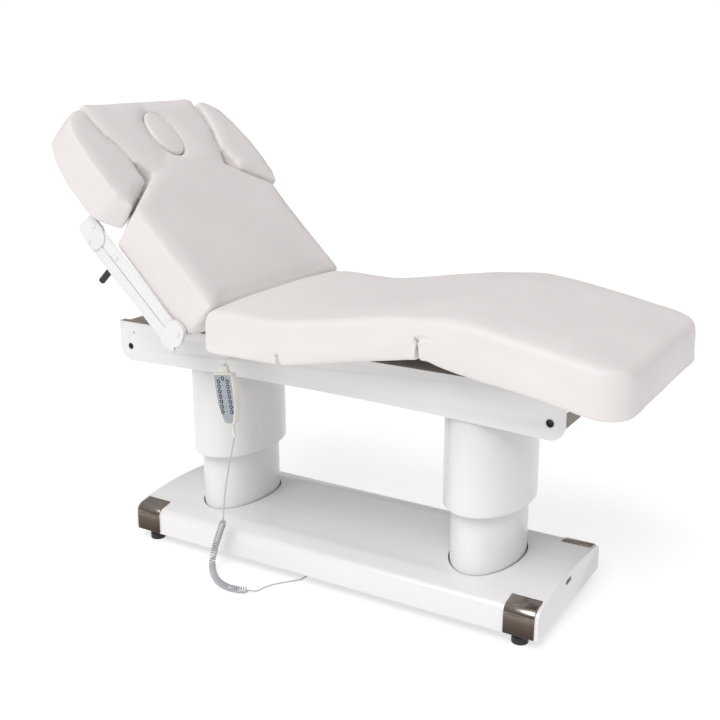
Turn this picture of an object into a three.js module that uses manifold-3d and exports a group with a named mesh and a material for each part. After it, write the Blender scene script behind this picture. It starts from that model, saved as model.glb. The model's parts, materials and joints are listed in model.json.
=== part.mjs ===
// Electric facial treatment bed on two lifting columns.
// Millimetres. +X points to the foot end, +Y to the patient's left, +Z up; feet stand on z = 0.
import * as THREE from "three";
import { mergeVertices } from "three/addons/utils/BufferGeometryUtils.js";
import Module from "manifold-3d";

const wasm = await Module();
wasm.setup();

// ---------------------------------------------------------------- driving dimensions
const GAP = 0.3; // between touching pieces
const MIRROR = [-1, 1];

const BASE_HALF_LENGTH = 702;
const BASE_HALF_WIDTH = 247;
const BASE_UNDERSIDE = 32;
const BASE_CROWN = 135;
const BASE_ARCH_RADIUS = 1306;
const BASE_EDGE_RADIUS = 24;
const SHEET = 3; // folded sheet steel
const PAN_BOTTOM = 36;
const PAN_TOP = 40;
const FOOT_X = 640;
const FOOT_Y = 214;

const COLUMN_X = 447;
const LOWER_COVER = { rx: 102, ry: 157, wall: 3, top: 434 };
const UPPER_COVER = { rx: 124, ratio: 1.5, bottom: 312, top: 612 };
const OUTER_PROFILE = { halfX: 50, halfY: 65, wall: 5, top: 425 };
const INNER_PROFILE = { halfX: 44, halfY: 59, wall: 4, bottom: 215, top: 604 };

const BEAM_TOP = 716;
const BEAM_HALF_WIDTH = 194;
const BEAM_HEAD = -771;
const BEAM_FOOT = 729;
const DECK_TOP = 708;
const FLANGE = 26;

const PAD_TOP = 839;
const PAD_HALF_WIDTH = 356;
const PAD_EDGE_RADIUS = 24;
const PAD_DEPTH = 131;
const RECESS_HALF_WIDTH = 203; // the pads straddle the beam by this much
const RECESS_DEPTH = 121.7;

const HIP = { x: -292, z: 768.5, rest: 45.45 }; // backrest pin and its angle above flat
const BACK_START = 34.6; // pin to the cushion's lower end face
const BACK_LENGTH = 794; // along the top surface from the crease
const BACK_SKIRT = 144;
const BACK_SET = 29.6; // pin to crease along the backrest
const BACK_ABOVE = 70.7; // pin to the top surface

const KNUCKLE = 112; // radius of the foam round each leg hinge
const THIGH = { x: -49, z: 725, rest: 10.9, length: 472 };
const LEG = { rest: 22.5, length: 506 };
const LEG_ABOVE = PAD_TOP - THIGH.z;
const LEG_BELOW = PAD_DEPTH - LEG_ABOVE;
const BOARD_HALF = 6;
const BOARD_WIDTH = 196;

const BAR_Y = 361; // inner face of the armrest bars
const BAR_THICK = 5;
const CHEEK_Y = 358; // inner face of the plates that hold the bars' pins
const PIVOT_LOW = [[29, 139], [11, 189]]; // along the backrest, depth below its top
const BAR_REACH = [416, 13];
const LEVER = { s: 328, depth: 157 };

// lever: the rod's eye, from the hinge it turns, with the cushion flat; rear: the motor end's pin, x and z
const BACK_ACTUATOR = {
  name: "back", lever: [-8, -132], rear: [150, 650], y: 0, halfWidth: 28, stroke: 115, nose: 142,
  overlap: 45,
};
const LEG_ACTUATOR = {
  name: "leg", lever: [60, -80], rear: [-300, 650], y: 100, halfWidth: 22, stroke: 28, nose: 58,
  overlap: 28,
};

const HANDSET = { x: -277, y: -285, z: 668, tilt: 8, halfThick: 12 };
const BUTTON = { radius: 6.2, pitch: 15.3, column: 16.5, proud: 1.6, deep: 3 };
const CORD_RADIUS = 2.2;
const COIL_RADIUS = 11;

// ---------------------------------------------------------------- materials
const steelWhite = { color: 0xf4f4f6, roughness: 0.35, metalness: 0.1 };
const vinyl = { color: 0xece9e5, roughness: 0.55, metalness: 0 };
const nickel = { color: 0x6f675f, roughness: 0.2, metalness: 1 };
const rubber = { color: 0x161616, roughness: 0.8, metalness: 0 };
const aluminium = { color: 0xb9bcc0, roughness: 0.4, metalness: 0.9 };
const darkSteel = { color: 0x4a4b4e, roughness: 0.5, metalness: 0.7 };
const casePlastic = { color: 0xe9e6dc, roughness: 0.5, metalness: 0 };
const greyPlastic = { color: 0x8f949c, roughness: 0.5, metalness: 0 };

// ---------------------------------------------------------------- solids
function solid(geometry) {
  const bare = geometry.index ? geometry.toNonIndexed() : geometry.clone();
  for (const name of Object.keys(bare.attributes)) {
    if (name !== "position") bare.deleteAttribute(name);
  }
  const merged = mergeVertices(bare, 1e-4);
  return new wasm.Manifold(new wasm.Mesh({
    numProp: 3,
    vertProperties: new Float32Array(merged.attributes.position.array),
    triVerts: new Uint32Array(merged.index.array),
  }));
}

function geometryOf(body) {
  const mesh = body.getMesh();
  const geometry = new THREE.BufferGeometry();
  geometry.setAttribute("position", new THREE.BufferAttribute(mesh.vertProperties, 3));
  geometry.setIndex(new THREE.BufferAttribute(mesh.triVerts, 1));
  return geometry;
}

function place(parent, name, body, look) {
  const mesh = new THREE.Mesh(geometryOf(body), new THREE.MeshStandardMaterial(look));
  mesh.name = name;
  parent.add(mesh);
  return mesh;
}

const join = (first, ...rest) => rest.reduce((sum, body) => sum.add(body), first);
const cut = (first, ...rest) => rest.reduce((left, body) => left.subtract(body), first);

// A closed outline: each corner is [u, v] or [u, v, fillet radius].
function outline(corners, steps = 4) {
  const points = [];
  corners.forEach(([u, v, radius = 0], i) => {
    const here = new THREE.Vector2(u, v);
    if (!radius) {
      points.push(here);
      return;
    }
    const [bu, bv] = corners[(i + corners.length - 1) % corners.length];
    const [au, av] = corners[(i + 1) % corners.length];
    const before = new THREE.Vector2(bu, bv).sub(here).normalize();
    const after = new THREE.Vector2(au, av).sub(here).normalize();
    const half = Math.acos(THREE.MathUtils.clamp(before.dot(after), -1, 1)) / 2;
    const reach = radius / Math.tan(half);
    const centre = before.clone().add(after).normalize().multiplyScalar(radius / Math.sin(half)).add(here);
    const from = before.multiplyScalar(reach).add(here).sub(centre);
    const to = after.multiplyScalar(reach).add(here).sub(centre);
    const turn = Math.atan2(from.cross(to), from.dot(to));
    for (let k = 0; k <= steps; k += 1) {
      points.push(from.clone().rotateAround(new THREE.Vector2(), (turn * k) / steps).add(centre));
    }
  });
  return points;
}

const arc = (cu, cv, radius, fromDeg, toDeg, steps) => Array.from({ length: steps + 1 }, (_, k) => {
  const angle = THREE.MathUtils.degToRad(fromDeg + ((toDeg - fromDeg) * k) / steps);
  return [cu + radius * Math.cos(angle), cv + radius * Math.sin(angle)];
});

function prism(points, from, to, axisU, axisV, axisW) {
  const shape = new THREE.Shape(points);
  const geometry = new THREE.ExtrudeGeometry(shape, { depth: to - from, bevelEnabled: false });
  geometry.translate(0, 0, from);
  geometry.applyMatrix4(new THREE.Matrix4().makeBasis(axisU, axisV, axisW));
  return solid(geometry);
}

const X = new THREE.Vector3(1, 0, 0);
const Y = new THREE.Vector3(0, 1, 0);
const Z = new THREE.Vector3(0, 0, 1);
const alongX = (points, from, to) => prism(points, from, to, Y, Z, X);
// The side view (x, z) is swept along Y; its basis is left-handed unless w runs towards -Y.
const alongY = (points, from, to) => prism(points, -to, -from, X, Z, Y.clone().negate());
const alongZ = (points, from, to) => prism(points, from, to, X, Y, Z);

function box(x0, x1, y0, y1, z0, z1) {
  const geometry = new THREE.BoxGeometry(x1 - x0, y1 - y0, z1 - z0);
  return solid(geometry.translate((x0 + x1) / 2, (y0 + y1) / 2, (z0 + z1) / 2));
}

const circle = (u, v, radius, sides = 20) => arc(u, v, radius, 0, 360 - 360 / sides, sides - 1)
  .map(([a, b]) => new THREE.Vector2(a, b));
const ellipse = (u, v, ru, rv, sides = 48) => circle(0, 0, 1, sides)
  .map((p) => new THREE.Vector2(u + p.x * ru, v + p.y * rv));
const pinY = (x, z, radius, from, to, sides = 20) => alongY(circle(x, z, radius, sides), from, to);
const rodZ = (x, y, radius, from, to, sides = 24) => alongZ(circle(x, y, radius, sides), from, to);

function mirrorPair(side, from, to) {
  return side > 0 ? [from, to] : [-to, -from];
}

// ---------------------------------------------------------------- the tree of moving groups
const group = new THREE.Group();
const base = new THREE.Group();
const lift = new THREE.Group();
const backrest = new THREE.Group();
const thigh = new THREE.Group();
const leg = new THREE.Group();
group.add(base, lift);
lift.add(backrest, thigh);
thigh.add(leg);
backrest.position.set(HIP.x, 0, HIP.z);
backrest.rotation.y = THREE.MathUtils.degToRad(HIP.rest);
thigh.position.set(THIGH.x, 0, THIGH.z);
thigh.rotation.y = -THREE.MathUtils.degToRad(THIGH.rest);
leg.position.set(THIGH.length, 0, 0);
leg.rotation.y = THREE.MathUtils.degToRad(LEG.rest);

// ---------------------------------------------------------------- base
const archAt = (y, lower) => BASE_CROWN - lower - (y * y) / (2 * BASE_ARCH_RADIUS);

function baseSection(inset, bottom) {
  const half = BASE_HALF_WIDTH - inset;
  const radius = BASE_EDGE_RADIUS - inset;
  const crown = [];
  for (let k = 1; k < 8; k += 1) {
    const y = half * (1 - k / 4);
    crown.push([y, archAt(y, inset)]);
  }
  const shoulder = archAt(half, inset);
  return outline([[-half, bottom], [half, bottom], [half, shoulder, radius], ...crown,
    [-half, shoulder, radius]]);
}

function makeBase() {
  const shell = alongX(baseSection(0, BASE_UNDERSIDE), -BASE_HALF_LENGTH, BASE_HALF_LENGTH);
  const inside = alongX(baseSection(SHEET, 0), SHEET - BASE_HALF_LENGTH, BASE_HALF_LENGTH - SHEET);
  const columnHoles = MIRROR.map((side) => alongZ(
    ellipse(side * COLUMN_X, 0, LOWER_COVER.rx + 4, LOWER_COVER.ry + 4), 60, 200));
  place(base, "base_cover", cut(shell, inside, ...columnHoles), steelWhite);

  const edge = SHEET + GAP;
  const pan = box(edge - BASE_HALF_LENGTH, BASE_HALF_LENGTH - edge,
    edge - BASE_HALF_WIDTH, BASE_HALF_WIDTH - edge, PAN_BOTTOM, PAN_TOP);
  const controlBox = box(-130, 130, -90, 90, PAN_TOP - 1, 92);
  const handsetSocket = box(-66, -34, -192, -150, 6, PAN_BOTTOM + 1);
  const mainsInlet = box(120, 170, 120, 190, 8, PAN_BOTTOM + 1);
  const inletWell = box(128, 162, 170, 191, 13, 31);
  place(base, "base_pan", cut(join(pan, controlBox, handsetSocket, mainsInlet), inletWell), darkSteel);

  for (const end of MIRROR) {
    for (const side of MIRROR) {
      const name = `${end < 0 ? "head" : "foot"}_${side < 0 ? "right" : "left"}`;
      const outer = alongX(baseSection(-4, 34), end * 647 - 45, end * 647 + 45);
      const inner = alongX(baseSection(-GAP, 0), end * 647 - 60, end * 647 + 60);
      const reach = mirrorPair(side, 190, 260);
      const corner = box(end * 647 - 50, end * 647 + 50, ...reach, 20, 150);
      place(base, `corner_cover_${name}`, cut(outer, inner).intersect(corner), nickel);
      const pad = rodZ(end * FOOT_X, side * FOOT_Y, 24, 0, 22);
      const stem = rodZ(end * FOOT_X, side * FOOT_Y, 9, 21, PAN_BOTTOM - GAP, 16);
      place(base, `foot_${name}`, join(pad, stem), rubber);
    }
  }
}

// ---------------------------------------------------------------- lifting columns
function rectTube(x, { halfX, halfY, wall }, from, to) {
  const corner = wall + 3;
  const rim = (hx, hy, r) => outline(
    [[x - hx, -hy, r], [x + hx, -hy, r], [x + hx, hy, r], [x - hx, hy, r]], 2);
  return cut(alongZ(rim(halfX, halfY, corner), from, to),
    alongZ(rim(halfX - wall, halfY - wall, corner - wall), from - 1, to + 1));
}

function makeColumns() {
  for (const end of MIRROR) {
    const name = end < 0 ? "head" : "foot";
    const x = end * COLUMN_X;
    const floor = PAN_TOP + GAP;
    const { rx, ry, wall, top: lowerTop } = LOWER_COVER;
    const bore = alongZ(ellipse(x, 0, rx - wall, ry - wall), floor - 1, lowerTop + 1);
    place(base, `lower_column_cover_${name}`,
      cut(alongZ(ellipse(x, 0, rx, ry), floor, lowerTop), bore), steelWhite);

    place(base, `lift_profile_outer_${name}`,
      rectTube(x, OUTER_PROFILE, floor, OUTER_PROFILE.top), aluminium);

    const { bottom: innerBottom, top: innerTop } = INNER_PROFILE;
    const topPlate = box(x - 78, x + 78, -122, 122, innerTop - 0.5, UPPER_COVER.top);
    place(lift, `lift_profile_inner_${name}`,
      join(rectTube(x, INNER_PROFILE, innerBottom, innerTop), topPlate), aluminium);

    const { rx: r, bottom, top, ratio } = UPPER_COVER;
    const profile = [[r - 3, top], [r - 3, bottom + 14], [r - 6, bottom + 7], [r - 15, bottom + 3],
      [r - 15, bottom], [r - 10, bottom], [r - 3.5, bottom + 3.5], [r, bottom + 11], [r, top],
      [r - 3, top]].map(([u, v]) => new THREE.Vector2(u, v));
    const tube = new THREE.LatheGeometry(profile, 48);
    tube.rotateX(Math.PI / 2);
    tube.scale(1, ratio, 1);
    tube.translate(x, 0, 0);
    place(lift, `upper_column_cover_${name}`, solid(tube), steelWhite);
  }
}

// ---------------------------------------------------------------- beam between the columns and the pads
function makeBeam() {
  const half = BEAM_HALF_WIDTH;
  const low = 560;
  const lip = half - FLANGE;
  const section = [[-half, low], [-half + SHEET, low], [-half + SHEET, BEAM_TOP - SHEET],
    [-lip - SHEET, BEAM_TOP - SHEET], [-lip - SHEET, DECK_TOP - SHEET], [lip + SHEET, DECK_TOP - SHEET],
    [lip + SHEET, BEAM_TOP - SHEET], [half - SHEET, BEAM_TOP - SHEET], [half - SHEET, low], [half, low],
    [half, BEAM_TOP], [lip, BEAM_TOP], [lip, DECK_TOP], [-lip, DECK_TOP], [-lip, BEAM_TOP],
    [-half, BEAM_TOP]].map(([u, v]) => new THREE.Vector2(u, v));
  const channel = alongX(section, BEAM_HEAD, BEAM_FOOT);
  const underside = [];
  for (let k = 1; k < 8; k += 1) {
    const t = k / 8;
    const x = BEAM_HEAD + (BEAM_FOOT - BEAM_HEAD) * t;
    underside.push([x, 586 - 5 * t + 70 * t * (1 - t)]);
  }
  const side = outline([[BEAM_HEAD, BEAM_TOP], [BEAM_HEAD, 586, 48], ...underside,
    [BEAM_FOOT, 581, 45], [BEAM_FOOT, BEAM_TOP]], 6);
  const plates = channel.intersect(alongY(side, -half - 1, half + 1));

  const saddles = MIRROR.map((end) => box(end * COLUMN_X - 110, end * COLUMN_X + 110,
    1 - half, half - 1, UPPER_COVER.top + GAP, UPPER_COVER.top + 6));
  const fittings = [];
  const holes = [];
  for (const hand of MIRROR) {
    // the backrest's ear stands on the flange, outside the deck's step
    const ear = outline([[HIP.x - 35, BEAM_TOP - 1], [HIP.x + 30, BEAM_TOP - 1], [HIP.x + 16, HIP.z + 4, 14],
      [HIP.x, HIP.z + 18, 8], [HIP.x - 16, HIP.z + 4, 14]], 3);
    fittings.push(alongY(ear, ...mirrorPair(hand, 176, 182)));
    holes.push(pinY(HIP.x, HIP.z, 7, ...mirrorPair(hand, 170, 184)));
    const lug = outline([[THIGH.x - 13, DECK_TOP - 1], [THIGH.x + 13, DECK_TOP - 1],
      [THIGH.x + 11, THIGH.z + 8, 8], [THIGH.x - 11, THIGH.z + 8, 8]], 3);
    fittings.push(alongY(lug, ...mirrorPair(hand, 152, 162)));
    holes.push(pinY(THIGH.x, THIGH.z, 5, ...mirrorPair(hand, 150, 164), 12));
  }
  for (const { rear: [x, z], y, halfWidth } of [BACK_ACTUATOR, LEG_ACTUATOR]) {
    const hanger = outline([[x - 16, DECK_TOP - 1], [x + 16, DECK_TOP - 1], [x + 12, z - 12, 11],
      [x - 12, z - 12, 11]], 3);
    for (const hand of MIRROR) {
      const [from, to] = mirrorPair(hand, halfWidth + 6, halfWidth + 11);
      fittings.push(alongY(hanger, y + from, y + to));
      holes.push(pinY(x, z, 6, y + from - 1, y + to + 1, 14));
    }
  }

  const leverSlots = [box(-478, -150, -34, 34, DECK_TOP - 8, DECK_TOP + 2),
    box(-16, 82, LEG_ACTUATOR.y - 22, LEG_ACTUATOR.y + 22, DECK_TOP - 8, DECK_TOP + 2)];
  const through = [[-729, 636, 11], [-712, 683, 3.5], [686, 630, 12]]
    .map(([x, z, radius]) => pinY(x, z, radius, -half - 5, half + 5));
  const whole = join(plates, ...saddles, ...fittings);
  place(lift, "beam", cut(whole, ...leverSlots, ...holes, ...through), steelWhite);
}

// ---------------------------------------------------------------- cushions
// Across the bed: a soft-edged section between two heights, with the recess that straddles the beam.
function padSection(top, bottom, recess) {
  const half = PAD_HALF_WIDTH;
  const r = PAD_EDGE_RADIUS;
  return outline([[-half, bottom, 10], [-RECESS_HALF_WIDTH, bottom], [-RECESS_HALF_WIDTH, recess],
    [RECESS_HALF_WIDTH, recess], [RECESS_HALF_WIDTH, bottom], [half, bottom, 10], [half, top - 3, r],
    [0, top], [-half, top - 3, r]], 4);
}

// A flat frame of rails and cross members, open between them on each side of its middle rail.
function ladder(x0, x1, halfWidth, bottom, top, openings) {
  const windows = openings.flatMap(([from, to]) => MIRROR.map((hand) => box(
    from, to, ...mirrorPair(hand, 18, halfWidth - 36), bottom - 1, top + 1)));
  return cut(box(x0, x1, -halfWidth, halfWidth, bottom, top), ...windows);
}

function makeSeat() {
  const { x, z } = THIGH;
  const side = outline([[-300, PAD_TOP - PAD_DEPTH], [-317, 724], [-323, 745],
    ...arc(HIP.x, HIP.z, 31, 180, 122, 4), [-247, 831], [-232, 838], [x - 40, PAD_TOP],
    [x - 12, z + KNUCKLE + 1], ...arc(x, z, KNUCKLE, 90, 38, 6), [x + 16, z + 24],
    [x - 2, PAD_TOP - PAD_DEPTH]]);
  const whole = alongY(side, -PAD_HALF_WIDTH, PAD_HALF_WIDTH)
    .intersect(alongX(padSection(PAD_TOP, PAD_TOP - PAD_DEPTH, BEAM_TOP + 1.3), -400, 120));
  const pockets = MIRROR.map((hand) => box(-336, HIP.x + 34, ...mirrorPair(hand, 172, 195), 700, 792));
  const hingeRoom = pinY(x, z, 17, -RECESS_HALF_WIDTH, RECESS_HALF_WIDTH);
  place(lift, "seat_cushion", cut(whole, ...pockets, hingeRoom), vinyl);
}

function makeThigh() {
  const top = LEG_ABOVE;
  const far = THIGH.length;
  const start = KNUCKLE + 2;
  const side = outline([...arc(0, 0, start, 16, 68, 5), [start * Math.cos(1.187), top], [far - 20, top],
    ...arc(far, 0, KNUCKLE, 90, 8, 8), [far + 24, 8], [far + 2, -LEG_BELOW + 8], [far - 6, -LEG_BELOW],
    [30, -LEG_BELOW], [20, 6]]);
  const whole = alongY(side, -PAD_HALF_WIDTH, PAD_HALF_WIDTH)
    .intersect(alongX(padSection(top, -LEG_BELOW, BOARD_HALF + GAP), 0, far + 130));
  const kneeRoom = [pinY(far, 0, 17, -RECESS_HALF_WIDTH, RECESS_HALF_WIDTH),
    box(far, far + 130, -RECESS_HALF_WIDTH, RECESS_HALF_WIDTH, -20, 8)];
  place(thigh, "thigh_cushion", cut(whole, ...kneeRoom), vinyl);

  const board = ladder(16, far - 20, BOARD_WIDTH, -BOARD_HALF, BOARD_HALF, [[120, 260], [300, 415]]);
  const barrel = pinY(0, 0, 8, -148, 148, 16);
  const web = box(-1, 18, -148, 148, -4, 4);
  const pins = pinY(0, 0, 4, -168, 168, 12);
  const eyes = MIRROR.map((hand) => {
    const [from, to] = mirrorPair(hand, 104, 118);
    return join(pinY(far, 0, 9, from, to, 16), box(far - 24, far, from, to, -5, 5));
  });
  const eyeHoles = pinY(far, 0, 5, -125, 125, 12);
  const lever = leverPlates(LEG_ACTUATOR, [[96, -5], [34, -5]], 15);
  place(thigh, "thigh_frame",
    join(cut(join(board, ...eyes), eyeHoles), web, barrel, pins, lever), steelWhite);
}

function makeLeg() {
  const start = KNUCKLE + 2;
  const end = LEG.length;
  const top = LEG_ABOVE;
  const side = outline([[26, -LEG_BELOW], [18, -2], [46, 8], ...arc(0, 0, start, 6, 75, 8),
    [start * Math.cos(1.309), top], [end - 26, top], [end - 5, top - 9], [end, top - 32],
    [end - 2, 2], [end - 16, -LEG_BELOW]]);
  const plan = outline([[0, -PAD_HALF_WIDTH - 1], [end + 1, -PAD_HALF_WIDTH - 1, 96],
    [end + 1, PAD_HALF_WIDTH + 1, 96], [0, PAD_HALF_WIDTH + 1]], 6);
  const whole = alongY(side, -PAD_HALF_WIDTH, PAD_HALF_WIDTH)
    .intersect(alongX(padSection(top, -LEG_BELOW, BOARD_HALF + GAP), 0, end + 10))
    .intersect(alongZ(plan, -100, 200));
  place(leg, "leg_cushion", cut(whole, pinY(0, 0, 17, -RECESS_HALF_WIDTH, RECESS_HALF_WIDTH)), vinyl);

  const board = ladder(14, end - 60, BOARD_WIDTH, -BOARD_HALF, BOARD_HALF,
    [[60, 165], [205, 310], [345, 412]]);
  const barrel = pinY(0, 0, 8, -102, 102, 16);
  const web = box(-1, 16, -100, 100, -4, 4);
  const pins = pinY(0, 0, 4, -120, 120, 12);
  const notch = MIRROR.map((hand) => box(-1, 24, ...mirrorPair(hand, 102, 200), -20, 20));
  place(leg, "leg_frame", join(cut(board, ...notch), web, barrel, pins), steelWhite);
}

// ---------------------------------------------------------------- backrest
// (s, depth): along the backrest from the crease, and below its top surface.
const onBack = (s, depth) => [-(s + BACK_SET), BACK_ABOVE - depth];

// Plan of the main backrest cushion, one side: (s, half-width), narrowing at the head for the arm pads.
const BACK_PLAN = [[5, 356, 20], [385, 356, 26], [466, 226, 34], [560, 214], [612, 231], [655, 251],
  [720, 259], [794, 259, 34]];
const ARM_PLAN = [[375, 353, 10], [436, 388], [500, 393], [580, 392], [660, 381], [722, 356, 40],
  [756, 306, 24], [757, 266, 8], [700, 263.5], [650, 255], [607, 237], [560, 220], [448, 236, 26]];

// A plan given as (s, half-width) corners, in the backrest's own x and y.
const backPlan = (corners, hand) => corners.map(([s, y, r]) => [-(s + BACK_SET), hand * y, r]);

// Two plates that taper from the frame to the actuator's eye, one on each side of it.
function leverPlates({ lever: [ex, ez], y }, [near, far], reach) {
  const lean = THREE.MathUtils.radToDeg(Math.atan2(ez - near[1], ex - (near[0] + far[0]) / 2));
  const shape = outline([near, far, ...arc(ex, ez, 15, lean - 80, lean + 80, 5)]);
  return join(...MIRROR.map((hand) => {
    const [from, to] = mirrorPair(hand, reach, reach + 5);
    return alongY(shape, y + from, y + to);
  }));
}

// Two cheeks, one on each side of the bars' layer, joined by a pin at each pivot.
function barClevis(cheek, pivots, hand) {
  const inside = [CHEEK_Y, BAR_Y - 0.5];
  const outside = [BAR_Y + BAR_THICK + 0.5, BAR_Y + BAR_THICK + 4.5];
  const across = mirrorPair(hand, CHEEK_Y, outside[1]);
  return [alongY(cheek, ...mirrorPair(hand, ...inside)), alongY(cheek, ...mirrorPair(hand, ...outside)),
    ...pivots.map(([s, depth]) => pinY(...onBack(s, depth), 6, ...across, 16))];
}

// A prism along the shoulder's line; its corners are [out from the shoulder, up from the top surface].
function shoulderPrism(hand, corners) {
  const [outer, inner] = backPlan(BACK_PLAN.slice(1, 3), hand).map(([x, y]) => new THREE.Vector3(x, y, 0));
  const along = inner.clone().sub(outer).normalize();
  const outward = new THREE.Vector3(-Math.abs(along.y), -hand * along.x, 0);
  const middle = outer.add(inner).multiplyScalar(0.5);
  const shape = corners.map(([u, v]) => new THREE.Vector2(u, v));
  return prism(shape, -135, 135, outward, Z, outward.clone().cross(Z)).translate([middle.x, middle.y, BACK_ABOVE]);
}

function makeBackrest() {
  const s1 = -(BACK_LENGTH + BACK_SET);
  const plan = outline([...backPlan(BACK_PLAN, -1), ...backPlan(BACK_PLAN, 1).reverse()]);
  const top = BACK_ABOVE;
  const skirt = top - BACK_SKIRT;
  const recess = top - RECESS_DEPTH + 13;
  const side = outline([[-BACK_START, skirt, 14], [-BACK_START, top, 16], [s1, top - 4, 26],
    [s1, skirt + 30, 20], [s1 + 50, skirt + 8], [s1 + 120, skirt]]);
  const whole = alongY(side, -PAD_HALF_WIDTH, PAD_HALF_WIDTH)
    .intersect(alongX(padSection(top, skirt, recess), s1 - 10, 0))
    .intersect(alongZ(plan, skirt - 10, top + 10));
  const hole = alongZ(ellipse(-(640 + BACK_SET), 0, 88, 59, 28), skirt - 10, top + 10);
  // the shoulder is undercut, which leaves room for the arm pad as it swings down
  const undercut = MIRROR.map((hand) => shoulderPrism(hand, [[0.5, 0], [60, 0], [60, -180], [-34, -180]]));
  const tabRoom = MIRROR.map((hand) => box(-82, -30, ...mirrorPair(hand, 200, 360), skirt - 5, top - 127));
  place(backrest, "backrest_cushion", cut(whole, hole, ...undercut, ...tabRoom), vinyl);

  const plug = alongZ(ellipse(-(640 + BACK_SET), 0, 86.5, 57.5, 28), top - 104, top);
  place(backrest, "face_hole_plug", plug, vinyl);

  const boardTop = recess - GAP;
  const boardLow = boardTop - 12;
  const board = ladder(-700, -38, 202, boardLow, boardTop, [[-262, -128], [-430, -300], [-556, -468]]);
  const breathing = alongZ(ellipse(-(640 + BACK_SET), 0, 70, 46, 20), boardLow - 5, boardTop + 5);
  const pieces = [];
  for (const hand of MIRROR) {
    const strap = outline([[-60, boardLow], [-8, boardLow], [16, -8, 6], [14, 12, 10], [-14, 12, 10],
      [-16, -8], [-32, boardTop], [-60, boardTop]], 3);
    pieces.push(alongY(strap, ...mirrorPair(hand, 184, 190)));
    pieces.push(pinY(0, 0, 6, ...mirrorPair(hand, 174, 185)));
    pieces.push(box(-76, -38, ...mirrorPair(hand, 197.5, 202), top - 140, boardTop));
    pieces.push(box(-76, -40, ...mirrorPair(hand, 200, 359), top - 140, top - 128));
    const cheek = outline([[...onBack(-1, 160), 24], [...onBack(26, 208), 20], [...onBack(64, 206), 20],
      [...onBack(74, 122), 20], [...onBack(20, 108), 24]], 5);
    pieces.push(...barClevis(cheek, PIVOT_LOW, hand));
  }
  const lever = leverPlates(BACK_ACTUATOR, [[-38, boardLow + 3], [-100, boardLow + 3]], 16);
  place(backrest, "backrest_frame", join(cut(board, breathing), ...pieces, lever), steelWhite);
}

// ---------------------------------------------------------------- arm pads and their parallel bars
function makeArmrest(hand) {
  const name = hand < 0 ? "right" : "left";
  const top = BACK_ABOVE;
  const plan = outline(backPlan(ARM_PLAN, hand));
  const side = outline([[...onBack(366, 0), 20], [...onBack(366, 88), 10], onBack(455, 123),
    onBack(600, 122), [...onBack(770, 106), 10], [...onBack(770, 2), 24]]);
  // its lower face leans under, parallel to the shoulder it nests on
  const lean = shoulderPrism(hand, [[-60, 10], [7.4, 10], [-29, -180], [-60, -180]]);
  const body = cut(alongZ(plan, top - 140, top + 5).intersect(alongY(side, -420, 420)), lean);
  place(backrest, `arm_pad_${name}`, body, vinyl);

  const [reachS, reachD] = BAR_REACH;
  const high = PIVOT_LOW.map(([s, depth]) => [s + reachS, depth + reachD]);
  const layer = mirrorPair(hand, BAR_Y, BAR_Y + BAR_THICK);
  const barNames = [`armrest_upper_bar_${name}`, `armrest_lower_bar_${name}`];
  const edges = [[13, -24], [23, -14]]; // each bar's reach above and below its pivot line
  PIVOT_LOW.forEach(([s, depth], i) => {
    const [hs, hd] = high[i];
    const [above, below] = edges[i];
    const bar = outline([[...onBack(s - 11, depth - above), 9], [...onBack(s - 11, depth - below), 9],
      [...onBack(hs + 11, hd - below), 9], [...onBack(hs + 11, hd - above), 9]], 3);
    const holes = [[s, depth], [hs, hd]].map(([u, v]) => pinY(...onBack(u, v), 6.8, -400, 400, 16));
    place(backrest, barNames[i], cut(alongY(bar, ...layer), ...holes), steelWhite);
  });

  const cheek = outline([[...onBack(382, 150), 30], [...onBack(420, 132), 10], [...onBack(474, 134), 12],
    [...onBack(484, 205), 18], [...onBack(392, 214), 26]], 5);
  const shelf = (s0, s1, y0, y1, d0, d1) => box(-(s1 + BACK_SET), -(s0 + BACK_SET),
    ...mirrorPair(hand, y0, y1), top - d1, top - d0);
  place(backrest, `armrest_bracket_${name}`, join(...barClevis(cheek, high, hand),
    shelf(462, 478, 340, CHEEK_Y + 1, 124, 150), shelf(462, 690, 262, 352, 124, 130)), steelWhite);

  const lever = outline([[...onBack(LEVER.s + 9, LEVER.depth - 9), 8],
    [...onBack(LEVER.s - 9, LEVER.depth - 9), 8], [...onBack(LEVER.s - 10, LEVER.depth + 58), 4],
    [...onBack(LEVER.s + 4, LEVER.depth + 58), 4]], 3);
  const arm = alongY(lever, ...mirrorPair(hand, 354.2, 360.5));
  const grip = rodZ(-(LEVER.s - 3 + BACK_SET), hand * 350, 10, top - 270, top - 205, 16);
  place(backrest, `armrest_lock_lever_${name}`, join(arm, grip), rubber);
}

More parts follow.
